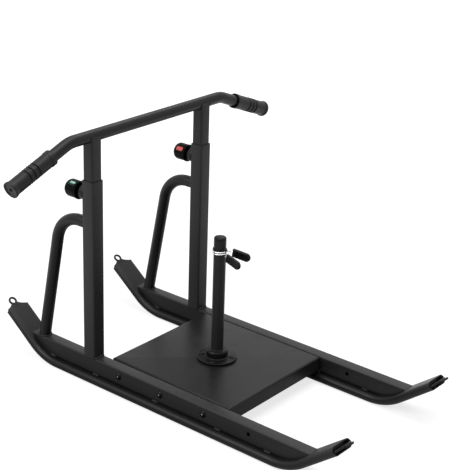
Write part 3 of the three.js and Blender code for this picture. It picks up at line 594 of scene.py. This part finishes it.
# Camera, in metres
CAMERA_SPOT = (1.72827, -2.11977, 1.47853)
CAMERA_YAW, CAMERA_PITCH, CAMERA_ROLL = radians(38.497), radians(21.988), radians(1.95)
view = bpy.data.cameras.new("camera")
view.lens, view.sensor_width = 99.662, 36
view.clip_start, view.clip_end = 0.1, 100
camera = add_object("camera", view)
look = Matrix.Rotation(CAMERA_YAW, 4, "Z") @ Matrix.Rotation(QUARTER - CAMERA_PITCH, 4, "X")
camera.matrix_world = Matrix.Translation(CAMERA_SPOT) @ look @ Matrix.Rotation(CAMERA_ROLL, 4, "Z")
bpy.context.scene.camera = camera

# Floor and surroundings, in metres: two distances from a middle, and the levels of light there
FLOOR_HALF, FLOOR_DROP = 30, 0.0002  # just under the soles, so that the two faces do not flicker
FLOOR_SEEN = (0.7, 1.8, 0.76, 1.0)  # near the sled it is a little below white, so that the shadow stays
# Painted shade: what mirrors see of the floor is darkened round a middle near the sled, a painted shadow in
# the sled's reflections, and dimmed again further out
REFLECTED_SHADOW_MIDDLE, REFLECTED_SHADOW_RISE, REFLECTED_SHADE_FALL = (-0.12, -0.08, 0), (0.25, 1.2, 0.04, 1.15), (1.05, 1.7, 1.0, 0.6)
SKY_LIGHT = 0.25
LAMPS = {  # where it hangs, what it points at, its width and height, and its watts
    "key": ((-0.9, -2.3, 2.6), (0, 0, 0.25), (2.2, 1.8), 62),
    "top": ((0.1, 0.3, 3.2), (0, 0, 0.2), (2.1, 2.1), 45),
    "back": ((-0.9, 2.3, 3.2), (-0.2, 0, 0.6), (0.8, 0.8), 10),
}


def backdrop(tree, low, camera_level, mirror_level):
    """A level that is low for the light on the sled, and brighter for the camera and in what mirrors it."""
    path = tree.nodes.new("ShaderNodeLightPath").outputs
    glossy, clear = path["Is Glossy Ray"], path["Is Transmission Ray"]
    mirrored = operate(tree, "ShaderNodeMath", "MAXIMUM", glossy, clear)[0]
    seen = ramp(tree, path["Is Camera Ray"], 0, 1, low, camera_level)
    return operate(tree, "ShaderNodeMath", "MAXIMUM", seen, ramp(tree, mirrored, 0, 1, low, mirror_level))[0]


def distance_from(tree, middle):
    """How far a spot of the floor is from a middle."""
    spot = tree.nodes.new("ShaderNodeTexCoord").outputs["Object"]
    return operate(tree, "ShaderNodeVectorMath", "DISTANCE", spot, middle)["Value"]


def lay_floor():
    material = bpy.data.materials.new("studio floor")
    material.use_nodes = True
    tree = material.node_tree
    shader = tree.nodes["Principled BSDF"].inputs
    shader["Base Color"].default_value = (0.4, 0.4, 0.4, 1)
    shader["Roughness"].default_value = 0.9
    shader["Specular IOR Level"].default_value = 0.0
    shader["Emission Color"].default_value = (1, 1, 1, 1)
    seen = ramp(tree, distance_from(tree, (0, 0, 0)), *FLOOR_SEEN)
    # Painted shadow in reflections: the level that mirrors see rises away from a middle near the sled and
    # falls again further out
    from_shadow_middle = distance_from(tree, REFLECTED_SHADOW_MIDDLE)
    rise, fall = ramp(tree, from_shadow_middle, *REFLECTED_SHADOW_RISE), ramp(tree, from_shadow_middle, *REFLECTED_SHADE_FALL)
    mirrored = operate(tree, "ShaderNodeMath", "MULTIPLY", rise, fall)[0]
    tree.links.new(backdrop(tree, 0.0, seen, mirrored), shader["Emission Strength"])
    mesh = bpy.data.meshes.new("floor")
    corners = [(x * FLOOR_HALF, y * FLOOR_HALF, 0) for x, y in ((-1, -1), (1, -1), (1, 1), (-1, 1))]
    mesh.from_pydata(corners, [], [(0, 1, 2, 3)])
    mesh.materials.append(material)
    ground = add_object("floor", mesh)
    ground.location.z = -FLOOR_DROP


lay_floor()
world = bpy.data.worlds.new("studio")
bpy.context.scene.world = world
world.use_nodes = True
sky = world.node_tree.nodes["Background"].inputs
sky["Color"].default_value = (1, 1, 1, 1)
world.node_tree.links.new(backdrop(world.node_tree, SKY_LIGHT, 1.0, 1.0), sky["Strength"])
for name, (spot, target, size, power) in LAMPS.items():
    lamp = bpy.data.lights.new(name, "AREA")
    lamp.shape, lamp.size, lamp.size_y, lamp.energy = "RECTANGLE", *size, power
    holder = add_object(name, lamp)
    holder.location = spot
    holder.rotation_mode = "QUATERNION"
    holder.rotation_quaternion = (Vector(target) - Vector(spot)).to_track_quat("-Z", "Y")
bpy.context.scene.view_settings.view_transform = "Standard"


# Skis, their plugs and eyes
def ski_route():
    corners = [(-SKI_RUN, 0, SKI_LIFT), (-SKI_CORNER, 0, 0), (SKI_CORNER, 0, 0), (SKI_RUN, 0, SKI_LIFT)]
    return bent(corners, SKI_BEND, Y, radians(2.5))


def ski_end(side, end):
    """The middle of a ski tube's end, with X pointing out of the tube."""
    turn = Matrix.Rotation(0 if end > 0 else TURN / 2, 4, "Z") @ Matrix.Rotation(-SKI_RISE, 4, "Y")
    return at(end * SKI_RUN, side * RAIL_PLACE, SKI_THICKNESS / 2 + SKI_LIFT) @ turn


def plate(outline, holes, thickness, edge, steps):
    """A flat plate in XY with eased edges, from an outline and holes."""
    curve = bpy.data.curves.new("plate", "CURVE")
    curve.dimensions, curve.fill_mode = "2D", "BOTH"
    curve.extrude, curve.bevel_depth, curve.bevel_resolution = thickness / 2 - edge, edge, steps
    curve.offset = -edge
    for loop in (outline, *holes):
        spline = curve.splines.new("POLY")
        spline.points.add(len(loop) - 1)
        spline.use_cyclic_u = True
        for point, (x, y) in zip(spline.points, loop):
            point.co = (x, y, 0, 1)
    holder = bpy.data.objects.new("plate", curve)
    mesh = holder.to_mesh()
    shape = [v.co.copy() for v in mesh.vertices], [list(f.vertices) for f in mesh.polygons]
    holder.to_mesh_clear()
    bpy.data.objects.remove(holder)
    return shape


def curve_to(start, pull, end, steps=10):
    start, pull, end = Vector(start), Vector(pull), Vector(end)
    shares = [i / steps for i in range(steps + 1)]
    return [tuple(start.lerp(pull, t).lerp(pull.lerp(end, t), t)) for t in shares]


def eye_outline():
    """A plate nearly as wide as the tube, which necks down to a round eye."""
    half = EYE_WIDTH / 2
    neck_x, neck_y = EYE_REACH + EYE_RADIUS * cos(EYE_NECK), EYE_RADIUS * sin(EYE_NECK)
    pull = (neck_x - (half - neck_y) / 3, neck_y + (half - neck_y) / 4)
    lower = curve_to((EYE_OUTSIDE, -half), (pull[0], -pull[1]), (neck_x, -neck_y))
    upper = curve_to((neck_x, neck_y), pull, (EYE_OUTSIDE, half))
    head = arc(EYE_RADIUS, -EYE_NECK, EYE_NECK, 30, (EYE_REACH, 0))[1:-1]
    return [(-EYE_INSIDE, -half), *lower, *head, *upper, (-EYE_INSIDE, half)]


def ski_plug():
    section = rounded_box(PLUG_WIDTH, PLUG_HEIGHT, PLUG_HEIGHT / 2 - 0.1, 8)
    rings = []
    for depth, inset in PLUG_OUTLINE:
        x, wide, high = -PLUG_RECESS - depth, 1 - 2 * inset / PLUG_WIDTH, 1 - inset / PLUG_DISH
        rings.append([Vector((x, a * wide, b * high)) for a, b in section])
    return loops(rings)


def plug_slot():
    """What the eye's plate takes out of a plug."""
    section = rounded_box(EYE_WIDTH + 2 * FIT, EYE_THICKNESS + 2 * FIT, 0.3, 1)
    return loops([[Vector((x, a, b)) for a, b in section] for x in (-PLUG_DEPTH - 5, 3)])


ski_section = hollow(SKI_THICKNESS, SKI_WIDTH, SKI_THICKNESS / 2, SKI_WALL, SKI_THICKNESS / 2 - SKI_WALL, 10)
for hand, side in SIDES.items():
    place(f"{hand}_ski", tube(ski_route(), *ski_section), at(0, side * RAIL_PLACE, SKI_THICKNESS / 2))
    for end_name, end in ENDS.items():
        tip = ski_end(side, end)
        hole = circle(EYE_HOLE, 32, (EYE_REACH, 0))
        eye = plate(eye_outline(), [hole], EYE_THICKNESS, EYE_EASE, 3)
        place(f"{end_name}_{hand}_tow_eye", eye, tip)
        place(f"{end_name}_{hand}_ski_plug", ski_plug(), tip, cuts=[shifted(plug_slot(), tip)])


# Rails
def below_ski_top(reach=600, depth=100, rise=60):
    """All that lies below the ski's upper face, as a prism across the rail."""
    lift = SKI_THICKNESS / 2 + FIT
    top = [(spot.x - down.x * lift, spot.z - down.z * lift) for spot, down, _ in ski_route()]
    outline = [(-reach, -depth), (reach, -depth), (reach, top[-1][1] + rise), *reversed(top)]
    outline.append((-reach, top[0][1] + rise))
    return loops([[Vector((x, y, z)) for x, z in outline] for y in (-RAIL_WIDTH, RAIL_WIDTH)])


def stitch(x, y):
    """A short weld at the rail's foot, which climbs where the ski bends up."""
    runs = np.linspace(-STITCH_HALF, STITCH_HALF, 12)
    climbs = [max(0, abs(x + t) - STITCH_CURVE) ** 2 / STITCH_EASE for t in runs]
    return [(x + t, y, RAIL_FLOOR + STITCH_LIFT + climb) for t, climb in zip(runs, climbs)]


rail_section = hollow(RAIL_WIDTH, RAIL_HEIGHT, RAIL_CORNER, RAIL_WALL)
for hand, side in SIDES.items():
    y, middle = side * RAIL_PLACE, RAIL_FLOOR + RAIL_HEIGHT / 2
    body = straight((-RAIL_REACH, y, middle), (RAIL_REACH, y, middle), Y, Z, *rail_section)
    ski_cut = shifted(below_ski_top(), at(0, y, SKI_THICKNESS / 2))
    hole_x = 2 * BOLT_PITCH
    hole = straight((hole_x, y - RAIL_HEIGHT, BOLT_HEIGHT), (hole_x, y + RAIL_HEIGHT, BOLT_HEIGHT), X, Z,
                    circle(ACCESSORY_HOLE, 28))
    rail = f"{hand}_rail"
    place(rail, body, cuts=[ski_cut, hole])
    for i, x in enumerate(STITCHES):
        for face, letter in ((-1, "a"), (1, "b")):
            line = stitch(x, y + face * (RAIL_WIDTH / 2 + STITCH_OFF))
            bead(f"{rail}_stitch_{i + 1}{letter}", rail, line, STITCH_BEAD, closed=False)


# Deck
def deck_face(sheet, bend, corner, least, steps):
    """Rings of one face of the folded sheet, this far under its outer face."""
    folds = [(0, DECK_FLANGE - sheet), (0, bend)]
    folds += [(bend * (1 - cos(a)), bend * (1 - sin(a))) for a in np.linspace(0, QUARTER, steps)[1:]]
    rings = []
    for inset, drop in folds:
        length, width = DECK_LENGTH - 2 * (inset + sheet), 2 * (DECK_HALF - DECK_SEAM - inset - sheet)
        section = rounded_box(length, width, max(corner - inset, least), 4)
        rings.append([Vector((a, b, DECK_TOP - sheet - drop)) for a, b in section])
    return rings


deck_inside = deck_face(DECK_SHEET, DECK_BEND - DECK_SHEET, corner=1.2, least=0.3, steps=7)
place("deck", loops(deck_inside[::-1] + deck_face(0, DECK_BEND, corner=2.5, least=0.4, steps=9)))


# Uprights: sleeves, bushings and posts
def upright(y, low, high, section):
    return straight((SLEEVE_X, y, low), (SLEEVE_X, y, high), X, Y, *section)


def bushing(y):
    """A lining in the sleeve's top with a lip that rests on it."""
    def ring(height, section):
        return [Vector((SLEEVE_X + a, y + b, SLEEVE_TOP + FIT / 2 + height)) for a, b in section]

    rings = []
    for height, grow in BUSHING_OUTLINE:
        width = SLEEVE_WIDTH + grow
        rings.append(ring(height, rounded_box(width, width, SLEEVE_CORNER + grow / 4)))
    bore = rounded_box(POST_WIDTH + FIT, POST_WIDTH + FIT, POST_CORNER)
    return loops(rings + [ring(BUSHING_LIP, bore), ring(-BUSHING_DEPTH, bore)], close=True)


def post_cuts(y):
    """The saddle for the push bar, and the row of pin holes in the rear wall."""
    ends = (SLEEVE_X, y - 20, BAR_HEIGHT), (SLEEVE_X, y + 20, BAR_HEIGHT)
    cuts = [straight(*ends, X, Z, circle(BAR_RADIUS, 56))]
    inside, outside = SLEEVE_X - 6, SLEEVE_X - 18  # the rear wall lies between the two
    for i in range(-3, 4):
        height = PIN_HEIGHT + i * HOLE_PITCH
        cuts.append(straight((inside, y, height), (outside, y, height), Y, Z, circle(PIN_HOLE, 24)))
    return cuts


def over(half, count=16):
    return np.linspace(-half, half, count)


def upright_welds(hand, side):
    """The beads at the sleeve's foot, at the push bar, round the pin housing and the low handle."""
    y = side * RAIL_PLACE
    sleeve, post, handle = (f"{hand}_{part}" for part in ("sleeve", "post", "low_handle"))
    for face, end in ((-1, "rear"), (1, "front")):
        flank = "in" if face == -side else "out"
        x, lift = SLEEVE_X + face * (SLEEVE_WIDTH / 2 + FOOT_OFF), RAIL_TOP + FOOT_LIFT
        foot = [(x, y + t, lift) for t in over(FOOT_HALF)]
        bead(f"{sleeve}_weld_{end}", sleeve, foot, FOOT_BEAD, closed=False)
        edge = y + face * (RAIL_WIDTH / 2 + FLANK_OFF)
        under = [(SLEEVE_X + t, edge, RAIL_TOP - FLANK_DROP) for t in over(FLANK_HALF)]
        bead(f"{sleeve}_weld_{flank}", sleeve, under, FLANK_BEAD, closed=False)
        edge = y + face * (POST_WIDTH / 2 + SADDLE_GAP)
        round_bar = arc(BAR_RADIUS + SADDLE_OFF, TURN / 2, TURN, 30, (SLEEVE_X, BAR_HEIGHT))
        bead(f"{post}_weld_{flank}", post, [(a, edge, b) for a, b in round_bar], SADDLE_BEAD, closed=False)
        x, height = SLEEVE_X + face * (BAR_RADIUS + BESIDE_OFF), BAR_HEIGHT - BESIDE_DROP
        beside = [(x, y + t, height) for t in over(BESIDE_HALF)]
        bead(f"{post}_weld_{end}", post, beside, BESIDE_BEAD, closed=False)
    housing = ring_of(HOUSING_WELD, (SLEEVE_REAR, y, PIN_HEIGHT), Y, Z)
    bead(f"{hand}_housing_weld", f"{hand}_pin_housing", housing, HOUSING_BEAD)
    top = ring_of(HANDLE_RADIUS + HANDLE_TOP_OFF, (SLEEVE_REAR, y, HANDLE_TOP), Y, Z)
    bead(f"{hand}_handle_top_weld", handle, top, HANDLE_TOP_BEAD)
    spot, stretch = (HANDLE_FOOT, y, RAIL_TOP + HANDLE_FOOT_LIFT), 1 / cos(HANDLE_LEAN)
    foot = ring_of(HANDLE_RADIUS + HANDLE_FOOT_OFF, spot, X, Y, stretch)
    bead(f"{hand}_handle_foot_weld", handle, foot, HANDLE_FOOT_BEAD)


sleeve_section = hollow(SLEEVE_WIDTH, SLEEVE_WIDTH, SLEEVE_CORNER, SLEEVE_WALL)
post_section = hollow(POST_WIDTH, POST_WIDTH, POST_CORNER, POST_WALL)
for hand, side in SIDES.items():
    y = side * RAIL_PLACE
    place(f"{hand}_sleeve", upright(y, SLEEVE_FLOOR, SLEEVE_TOP, sleeve_section))
    place(f"{hand}_bushing", bushing(y))
    place(f"{hand}_post", upright(y, POST_FOOT, BAR_HEIGHT, post_section), cuts=post_cuts(y))
    upright_welds(hand, side)


# Push bar and grips
def bar_route():
    tip = GRIP_START + GRIP_LENGTH - BAR_SHORT
    reach, drop = BAR_CORNER + tip * cos(BAR_DROOP), tip * sin(BAR_DROOP)
    corners = [(0, -reach, -drop), (0, -BAR_CORNER, 0), (0, BAR_CORNER, 0), (0, reach, -drop)]
    return bent(corners, BAR_BEND, X, radians(2))


def grip_outline():
    """The moulded sleeve: an open mouth, a collar, three grooves and a flared end with a rim."""
    flare, bore, vent = GRIP_LENGTH - GRIP_FLARE, BAR_RADIUS + 0.1, 3.4
    grooves = []
    for share in GROOVE_SHARES:
        middle = GRIP_SHOULDER + share * (flare - GRIP_SHOULDER)
        grooves += [(radius, middle - half, rounding) for radius, half, rounding in GROOVE_OUTLINE]
        grooves += [(radius, middle + half, rounding) for radius, half, rounding in GROOVE_OUTLINE[::-1]]
    outline = [
        (bore, 6), (16.6, 0.3, 0.4), (GRIP_COLLAR - 0.5, 0, 0.3), (GRIP_COLLAR, 1.2, 0.6),
        (GRIP_COLLAR, GRIP_SHOULDER - 2.2, 1.2), (GRIP_RADIUS, GRIP_SHOULDER + 0.2, 1.0), *grooves,
        (GRIP_RADIUS, flare, 5), (GRIP_RADIUS + 1, flare + 5.5, 4), (GRIP_FLANGE, flare + 9, 1.4),
        (GRIP_FLANGE, GRIP_LENGTH, 1.3), (GRIP_FLANGE - 3.4, GRIP_LENGTH, 1.2),
        (GRIP_FLANGE - 4.6, GRIP_LENGTH - 2.2, 0.8), (5, GRIP_LENGTH - 1.8, 1),
        (vent, GRIP_LENGTH - 2.6, 0.6), (vent, GRIP_LENGTH - 5), (bore, GRIP_LENGTH - 5),
    ]
    return fillet(outline, 4)


bar_section = circle(BAR_RADIUS, 48), circle(BAR_RADIUS - BAR_WALL, 48)
place("push_bar", tube(bar_route(), *bar_section), at(SLEEVE_X, 0, BAR_HEIGHT))
for hand, side in SIDES.items():
    out, down = GRIP_START * cos(BAR_DROOP), GRIP_START * sin(BAR_DROOP)
    spot = at(SLEEVE_X, side * (BAR_CORNER + out), BAR_HEIGHT - down)
    outward = Matrix.Rotation(-side * (QUARTER + BAR_DROOP), 4, "X")
    place(f"{hand}_grip", turned(grip_outline(), 64), spot @ outward, sharp=40)


# Low handles
def low_handle():
    """A bent tube whose foot is cut level with the rail's top."""
    rise, lean = HANDLE_TOP - RAIL_TOP, tan(HANDLE_LEAN)
    bend = (HANDLE_FOOT + lean * rise, 0, HANDLE_TOP)
    corners = [(HANDLE_FOOT, 0, RAIL_TOP), bend, (SLEEVE_REAR - 0.2, 0, HANDLE_TOP)]
    section = circle(HANDLE_RADIUS, 48)
    points, faces = tube(bent(corners, HANDLE_BEND, Y, radians(2.5)), section)
    along = Vector((sin(HANDLE_LEAN), 0, cos(HANDLE_LEAN)))
    for i in range(len(section)):
        points[i] = points[i] + along * ((RAIL_TOP + 0.1 - points[i].z) / along.z)
    return points, faces


for hand, side in SIDES.items():
    place(f"{hand}_low_handle", low_handle(), at(0, side * RAIL_PLACE, 0), sharp=50)


# Weight post
def pole_cap():
    head, inside = POLE_TOP - CAP_HEAD, POLE_RADIUS - POLE_WALL - FIT
    rim = arc(CAP_CORNER, 0, 1.4, 8, (POLE_RADIUS - CAP_CORNER, POLE_TOP - CAP_CORNER))
    foot = POLE_TOP - CAP_DEPTH
    return [(0, foot), (inside, foot), (inside, head), (POLE_RADIUS, head), *rim, (0, POLE_TOP)]


pole_low, pole_high = FLANGE_FLOOR, POLE_TOP - CAP_HEAD - 0.2
pole_outline = [(POLE_RADIUS - POLE_WALL, pole_low), (POLE_RADIUS, pole_low), (POLE_RADIUS, pole_high),
                (POLE_RADIUS - POLE_WALL, pole_high)]
base = "weight_pole_base"
place(base, turned(fillet(BASE_OUTLINE, 4), 96), at(0, 0, FLANGE_FLOOR), material=post_paint)
place("weight_pole", turned(pole_outline, 72), material=post_paint)
collar_foot, collar_top = FLANGE_FLOOR + FLANGE_PLATE + COLLAR_LIFT, FLANGE_FLOOR + COLLAR_TOP
bead("collar_weld", base, ring_of(COLLAR_RADIUS + COLLAR_OFF, (0, 0, collar_foot), X, Y), COLLAR_BEAD)
bead("post_weld", base, ring_of(POLE_RADIUS + POLE_OFF, (0, 0, collar_top), X, Y), POLE_BEAD)
place("weight_pole_cap", turned(pole_cap(), 72), material=post_paint)


# Screws and nuts
def screw_ring(radius, z, hexagon=None, steps=48):
    """A round ring, which a hexagon with its corners at another radius may cut."""
    points = []
    for i in range(steps):
        angle, reach = TURN * i / steps, radius
        if hexagon:
            flat = hexagon * cos(TURN / 12) / cos((angle % (TURN / 6)) - TURN / 12)
            reach = min(flat, radius)
        points.append(Vector((reach * cos(angle), reach * sin(angle), z)))
    return points


def screw(length, brim=8.4, rise=1.0):
    """A screw with a domed head on a brim, and a hexagon socket; its head is as high as rise says."""
    outline = [(SCREW_RADIUS - 0.6, -length), (SCREW_RADIUS, 0.7 - length), (SCREW_RADIUS, 0)]
    outline += [(brim, 0), (brim + 0.1, 0.3), (brim - 0.3, 0.7)]
    for a in (0.2, 0.4, 0.6, 0.8, 0.95, 1.07):
        outline.append((HEAD_RADIUS * cos(a) ** 0.8, rise * (0.4 + 4.0 * sin(a))))
    socket = [(2.9, 4.35), (2.6, 4.1), (2.5, 2.0)]
    rings = [screw_ring(*point) for point in outline]
    rings += [screw_ring(radius, rise * height, hexagon=radius) for radius, height in socket]
    return loops(rings + [screw_ring(1.2, rise * 1.7)])


def nut():
    bore, chamfer = 4.3, 0.8
    flank = [(NUT_RADIUS - chamfer, 0), (NUT_RADIUS, 0.5), (NUT_RADIUS, NUT_HEIGHT - 0.5),
             (NUT_RADIUS - chamfer, NUT_HEIGHT)]
    rings = [screw_ring(radius, z, hexagon=NUT_RADIUS) for radius, z in flank]
    inside = [screw_ring(bore + 0.6, NUT_HEIGHT), screw_ring(bore, NUT_HEIGHT - 0.5)]
    return loops([screw_ring(bore, 0), *rings, *inside], close=True)


def socket_dome():
    """The bright middle of a deck screw, a bright steel dome that stands in for the highlight in its socket:
    a painted highlight.
    """
    rim = [(2.3 * cos(a), 2.3 + 1.5 * sin(a)) for a in np.linspace(0.1, 1.4, 6)]
    return turned([(0, 2.1), (2.35, 2.1), (2.35, 2.3), *rim, (0, 3.8)], 24)


DECK_SCREW_PAST, FLANGE_SCREW_PAST = 9.8, 3.3  # how far a screw passes its nut's seat
for hand, side in SIDES.items():
    for i in (1, 2, 3):
        x = (i - 2) * BOLT_PITCH
        spin = Matrix.Rotation(0.3 * i, 4, "Z")
        seat = at(x, side * SCREW_SEAT, BOLT_HEIGHT) @ Matrix.Rotation(-side * QUARTER, 4, "X")
        node = f"{hand}_deck_screw_{i}"
        place(node, screw(SCREW_SEAT - NUT_SEAT + DECK_SCREW_PAST), seat @ spin, sharp=50)
        # A painted highlight: a bright steel dome in each deck screw's socket
        glint = detail(f"{node}_socket", socket_dome(), node, seat, material=paints["bright_steel"])
        inward = Matrix.Rotation(side * QUARTER, 4, "X")
        place(f"{hand}_deck_nut_{i}", nut(), at(x, side * NUT_SEAT, BOLT_HEIGHT) @ inward @ spin)
for i in (1, 2, 3, 4):
    angle = FLANGE_TURN + (i - 1) * QUARTER
    x, y = FLANGE_BOLTS * cos(angle), FLANGE_BOLTS * sin(angle)
    spin = Matrix.Rotation(0.4 * i, 4, "Z")
    seat = FLANGE_FLOOR + FLANGE_PLATE + FIT
    nut_floor = DECK_TOP - DECK_SHEET - FIT - NUT_HEIGHT
    shape = screw(seat - nut_floor + FLANGE_SCREW_PAST, brim=7.1, rise=0.6)
    place(f"flange_screw_{i}", shape, at(x, y, seat) @ spin, sharp=50, material=post_paint)
    place(f"flange_nut_{i}", nut(), at(x, y, nut_floor) @ spin)


# Pull pins and knobs, which point to the rear
def pull_place(side):
    return at(SLEEVE_REAR, side * RAIL_PLACE, PIN_HEIGHT) @ Matrix.Rotation(-QUARTER, 4, "Y")


def knob_outline():
    """The knob's outside: a collar, a groove, and a body that domes over to its end."""
    end, rim, neck = KNOB_START + KNOB_LENGTH, KNOB_START + KNOB_COLLAR, 18.9
    dome = KNOB_LENGTH * 0.3
    body = [
        (KNOB_RIM - 0.8, KNOB_START, 0.5), (KNOB_RIM, KNOB_START + 0.8, 0.6), (KNOB_RIM, rim - 1.2, 0.8),
        (neck, rim - 0.1, 0.7), (neck, rim + 1.1, 0.9), (KNOB_RADIUS - 0.5, rim + 2.8, 1.6),
        (KNOB_RADIUS, end - dome),
    ]
    angles = np.linspace(0, QUARTER, 12)[1:]
    shoulder = [(KNOB_RADIUS * (0.6 + 0.4 * cos(a)), end - dome + dome * sin(a)) for a in angles]
    return fillet(body, 5) + shoulder + [(0, end)]


def inlay_prism(hand, clearance):
    """The place of the inlay, on the side of the knob that is turned up towards the user."""
    length, width = INLAY_LENGTH - 2 * clearance, INLAY_WIDTH - 2 * clearance
    middle = KNOB_START + KNOB_COLLAR + (KNOB_LENGTH - KNOB_COLLAR) * INLAY_SHARE
    section = rounded_box(width, length, INLAY_CORNER - clearance, 6)
    reaches = (KNOB_RADIUS - INLAY_DEPTH + clearance, KNOB_RADIUS + 6)
    rings = [[Vector((x, a, middle + b)) for a, b in section] for x in reaches]
    return shifted(loops(rings), Matrix.Rotation(-INLAY_TURN[hand], 4, "Z"))


def spring():
    steps = SPRING_TURNS * 28
    points = []
    for i in range(steps + 1):
        angle = TURN * SPRING_TURNS * i / steps
        height = SPRING_LOW + (SPRING_HIGH - SPRING_LOW) * i / steps
        points.append((SPRING_RADIUS * cos(angle), SPRING_RADIUS * sin(angle), height))
    return tube(curved(points), circle(SPRING_WIRE / 2, 12))


for hand, side in SIDES.items():
    pull = pull_place(side)
    place(f"{hand}_pin_housing", turned(fillet(HOUSING_OUTLINE, 4), 56), pull)
    place(f"{hand}_pull_pin", turned(fillet(PIN_OUTLINE, 3), 40), pull)
for hand, side in SIDES.items():
    pull = pull_place(side)
    pocket = shifted(inlay_prism(hand, 0.25), pull)
    place(f"{hand}_knob", turned(KNOB_BORE + knob_outline(), 72), pull, cuts=[pocket], sharp=40)
    blank = build("blank", turned([(0, KNOB_START)] + knob_outline(), 72), paints["knob_gloss"], pull)
    inlay = place(f"{hand}_knob_inlay", inlay_prism(hand, FIT), pull)
    combine(inlay, "INTERSECT", blank)
    paint(inlay, paints[slot_of[f"{hand}_knob_inlay"]])
    smooth(inlay, 35)
    coil = place(f"{hand}_pin_spring", spring(), pull)
    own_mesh(coil)


# Spring clip on the weight post
def clip_place(hand):
    """Where a clip grip starts, and how it is turned."""
    side = SIDES[hand]
    turn = Matrix.Rotation(side * CLIP_SPLAY, 4, "Z") @ Matrix.Rotation(CLIP_DROOP[hand], 4, "Y")
    return at(CLIP_REACH, side * CLIP_SPREAD, CLIP_BASE + CLIP_PITCH * CLIP_RISE[hand]) @ turn


def bezier(a, b, c, d, steps):
    out = []
    for i in range(steps):
        t = i / steps
        out.append(a * (1 - t) ** 3 + b * 3 * t * (1 - t) ** 2 + c * 3 * t * t * (1 - t) + d * t ** 3)
    return out


def clip_arm(hand, on_ring, angle, sense):
    """From inside a grip to the ring round the post, which the wire meets along its run."""
    spot = clip_place(hand)
    root, along = spot.translation, (spot.to_3x3() @ X)
    away = Vector((-sin(angle), cos(angle), 0)) * sense
    clear = root - along * CLIP_WIRE
    inside = root + along * (CLIP_BORE - FIT)
    run = [inside.lerp(clear, i / 6) for i in range(6)]
    return run + bezier(clear, clear - along * CLIP_WIRE, on_ring + away * 4 * CLIP_WIRE, on_ring, 20)


def clip_wire():
    """From the right grip round the post and out to the left grip, crossing over itself."""
    radius, sweep = POLE_RADIUS + FIT + CLIP_WIRE / 2, TURN * CLIP_TURNS - 2 * CLIP_LEAVE
    turns = sweep / TURN
    steps = round(turns * 72)
    ring = []
    for i in range(steps + 1):
        angle, height = CLIP_LEAVE + sweep * i / steps, CLIP_BASE + CLIP_PITCH * turns * i / steps
        ring.append(Vector((radius * cos(angle), radius * sin(angle), height)))
    right = clip_arm("right", ring[0], CLIP_LEAVE, -1)
    left = clip_arm("left", ring[-1], -CLIP_LEAVE, 1)
    return right + ring[:1], ring, ring[-1:] + left[::-1]


def clip_tongue():
    half, length = TONGUE_HEIGHT / 2, TONGUE_LENGTH
    tip = arc(half, -QUARTER, QUARTER, 20, (length - half, 0))
    outline = [(0, -half + 1), (1, -half), *tip, (1, half), (0, half - 1)]
    return plate(outline, [], TONGUE_THICKNESS, TONGUE_EASE, 4)


right_arm, ring_line, left_arm = clip_wire()
# The top turns and the left arm's first stretch are drawn dark in black vinyl, for a band that is partly
# painted reflection of the dark pole
darkened = round(len(ring_line) * (1 - CLIP_DARKENED / (CLIP_TURNS - 2 * CLIP_LEAVE / TURN)))
wire = circle(CLIP_WIRE / 2, 20)
place("clip_coil", tube(curved(ring_line[:darkened + 1]), wire))
upper = []
for point in ring_line[darkened:]:
    out = Vector((point.x, point.y, 0)).normalized()
    upper.append((out * (POLE_RADIUS + FIT + CLIP_SLIM * CLIP_WIRE / 2) + Z * point.z, out, Z))
drawn = [(CLIP_SLIM * a, CLIP_TALL * b) for a, b in wire]
place("clip_coil", tube(upper, drawn), extra="_darkened", material=paints["clip_rubber"])
for name, hand, line, slot in (
    ("right_clip_arm", "right", right_arm, "clip_chrome"),
    ("left_clip_arm", "left", left_arm[8:], "clip_chrome"),
    ("left_clip_arm_darkened", "left", left_arm[:9], "clip_rubber"),
):
    arm = build(name, tube(curved(line), wire), paints[slot])
    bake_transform(arm)
    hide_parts("clip_coil")
for hand in SIDES:
    spot = clip_place(hand)
    bore = straight((-4, 0, 0), (CLIP_BORE, 0, 0), Y, Z, circle(CLIP_WIRE / 2 + FIT, 24))
    tongue = shifted(clip_tongue(), Matrix.Rotation(QUARTER, 4, "X"))
    place(f"{hand}_clip_grip", tongue, spot, cuts=[shifted(bore, spot)], sharp=50)

bpy.context.view_layer.update()
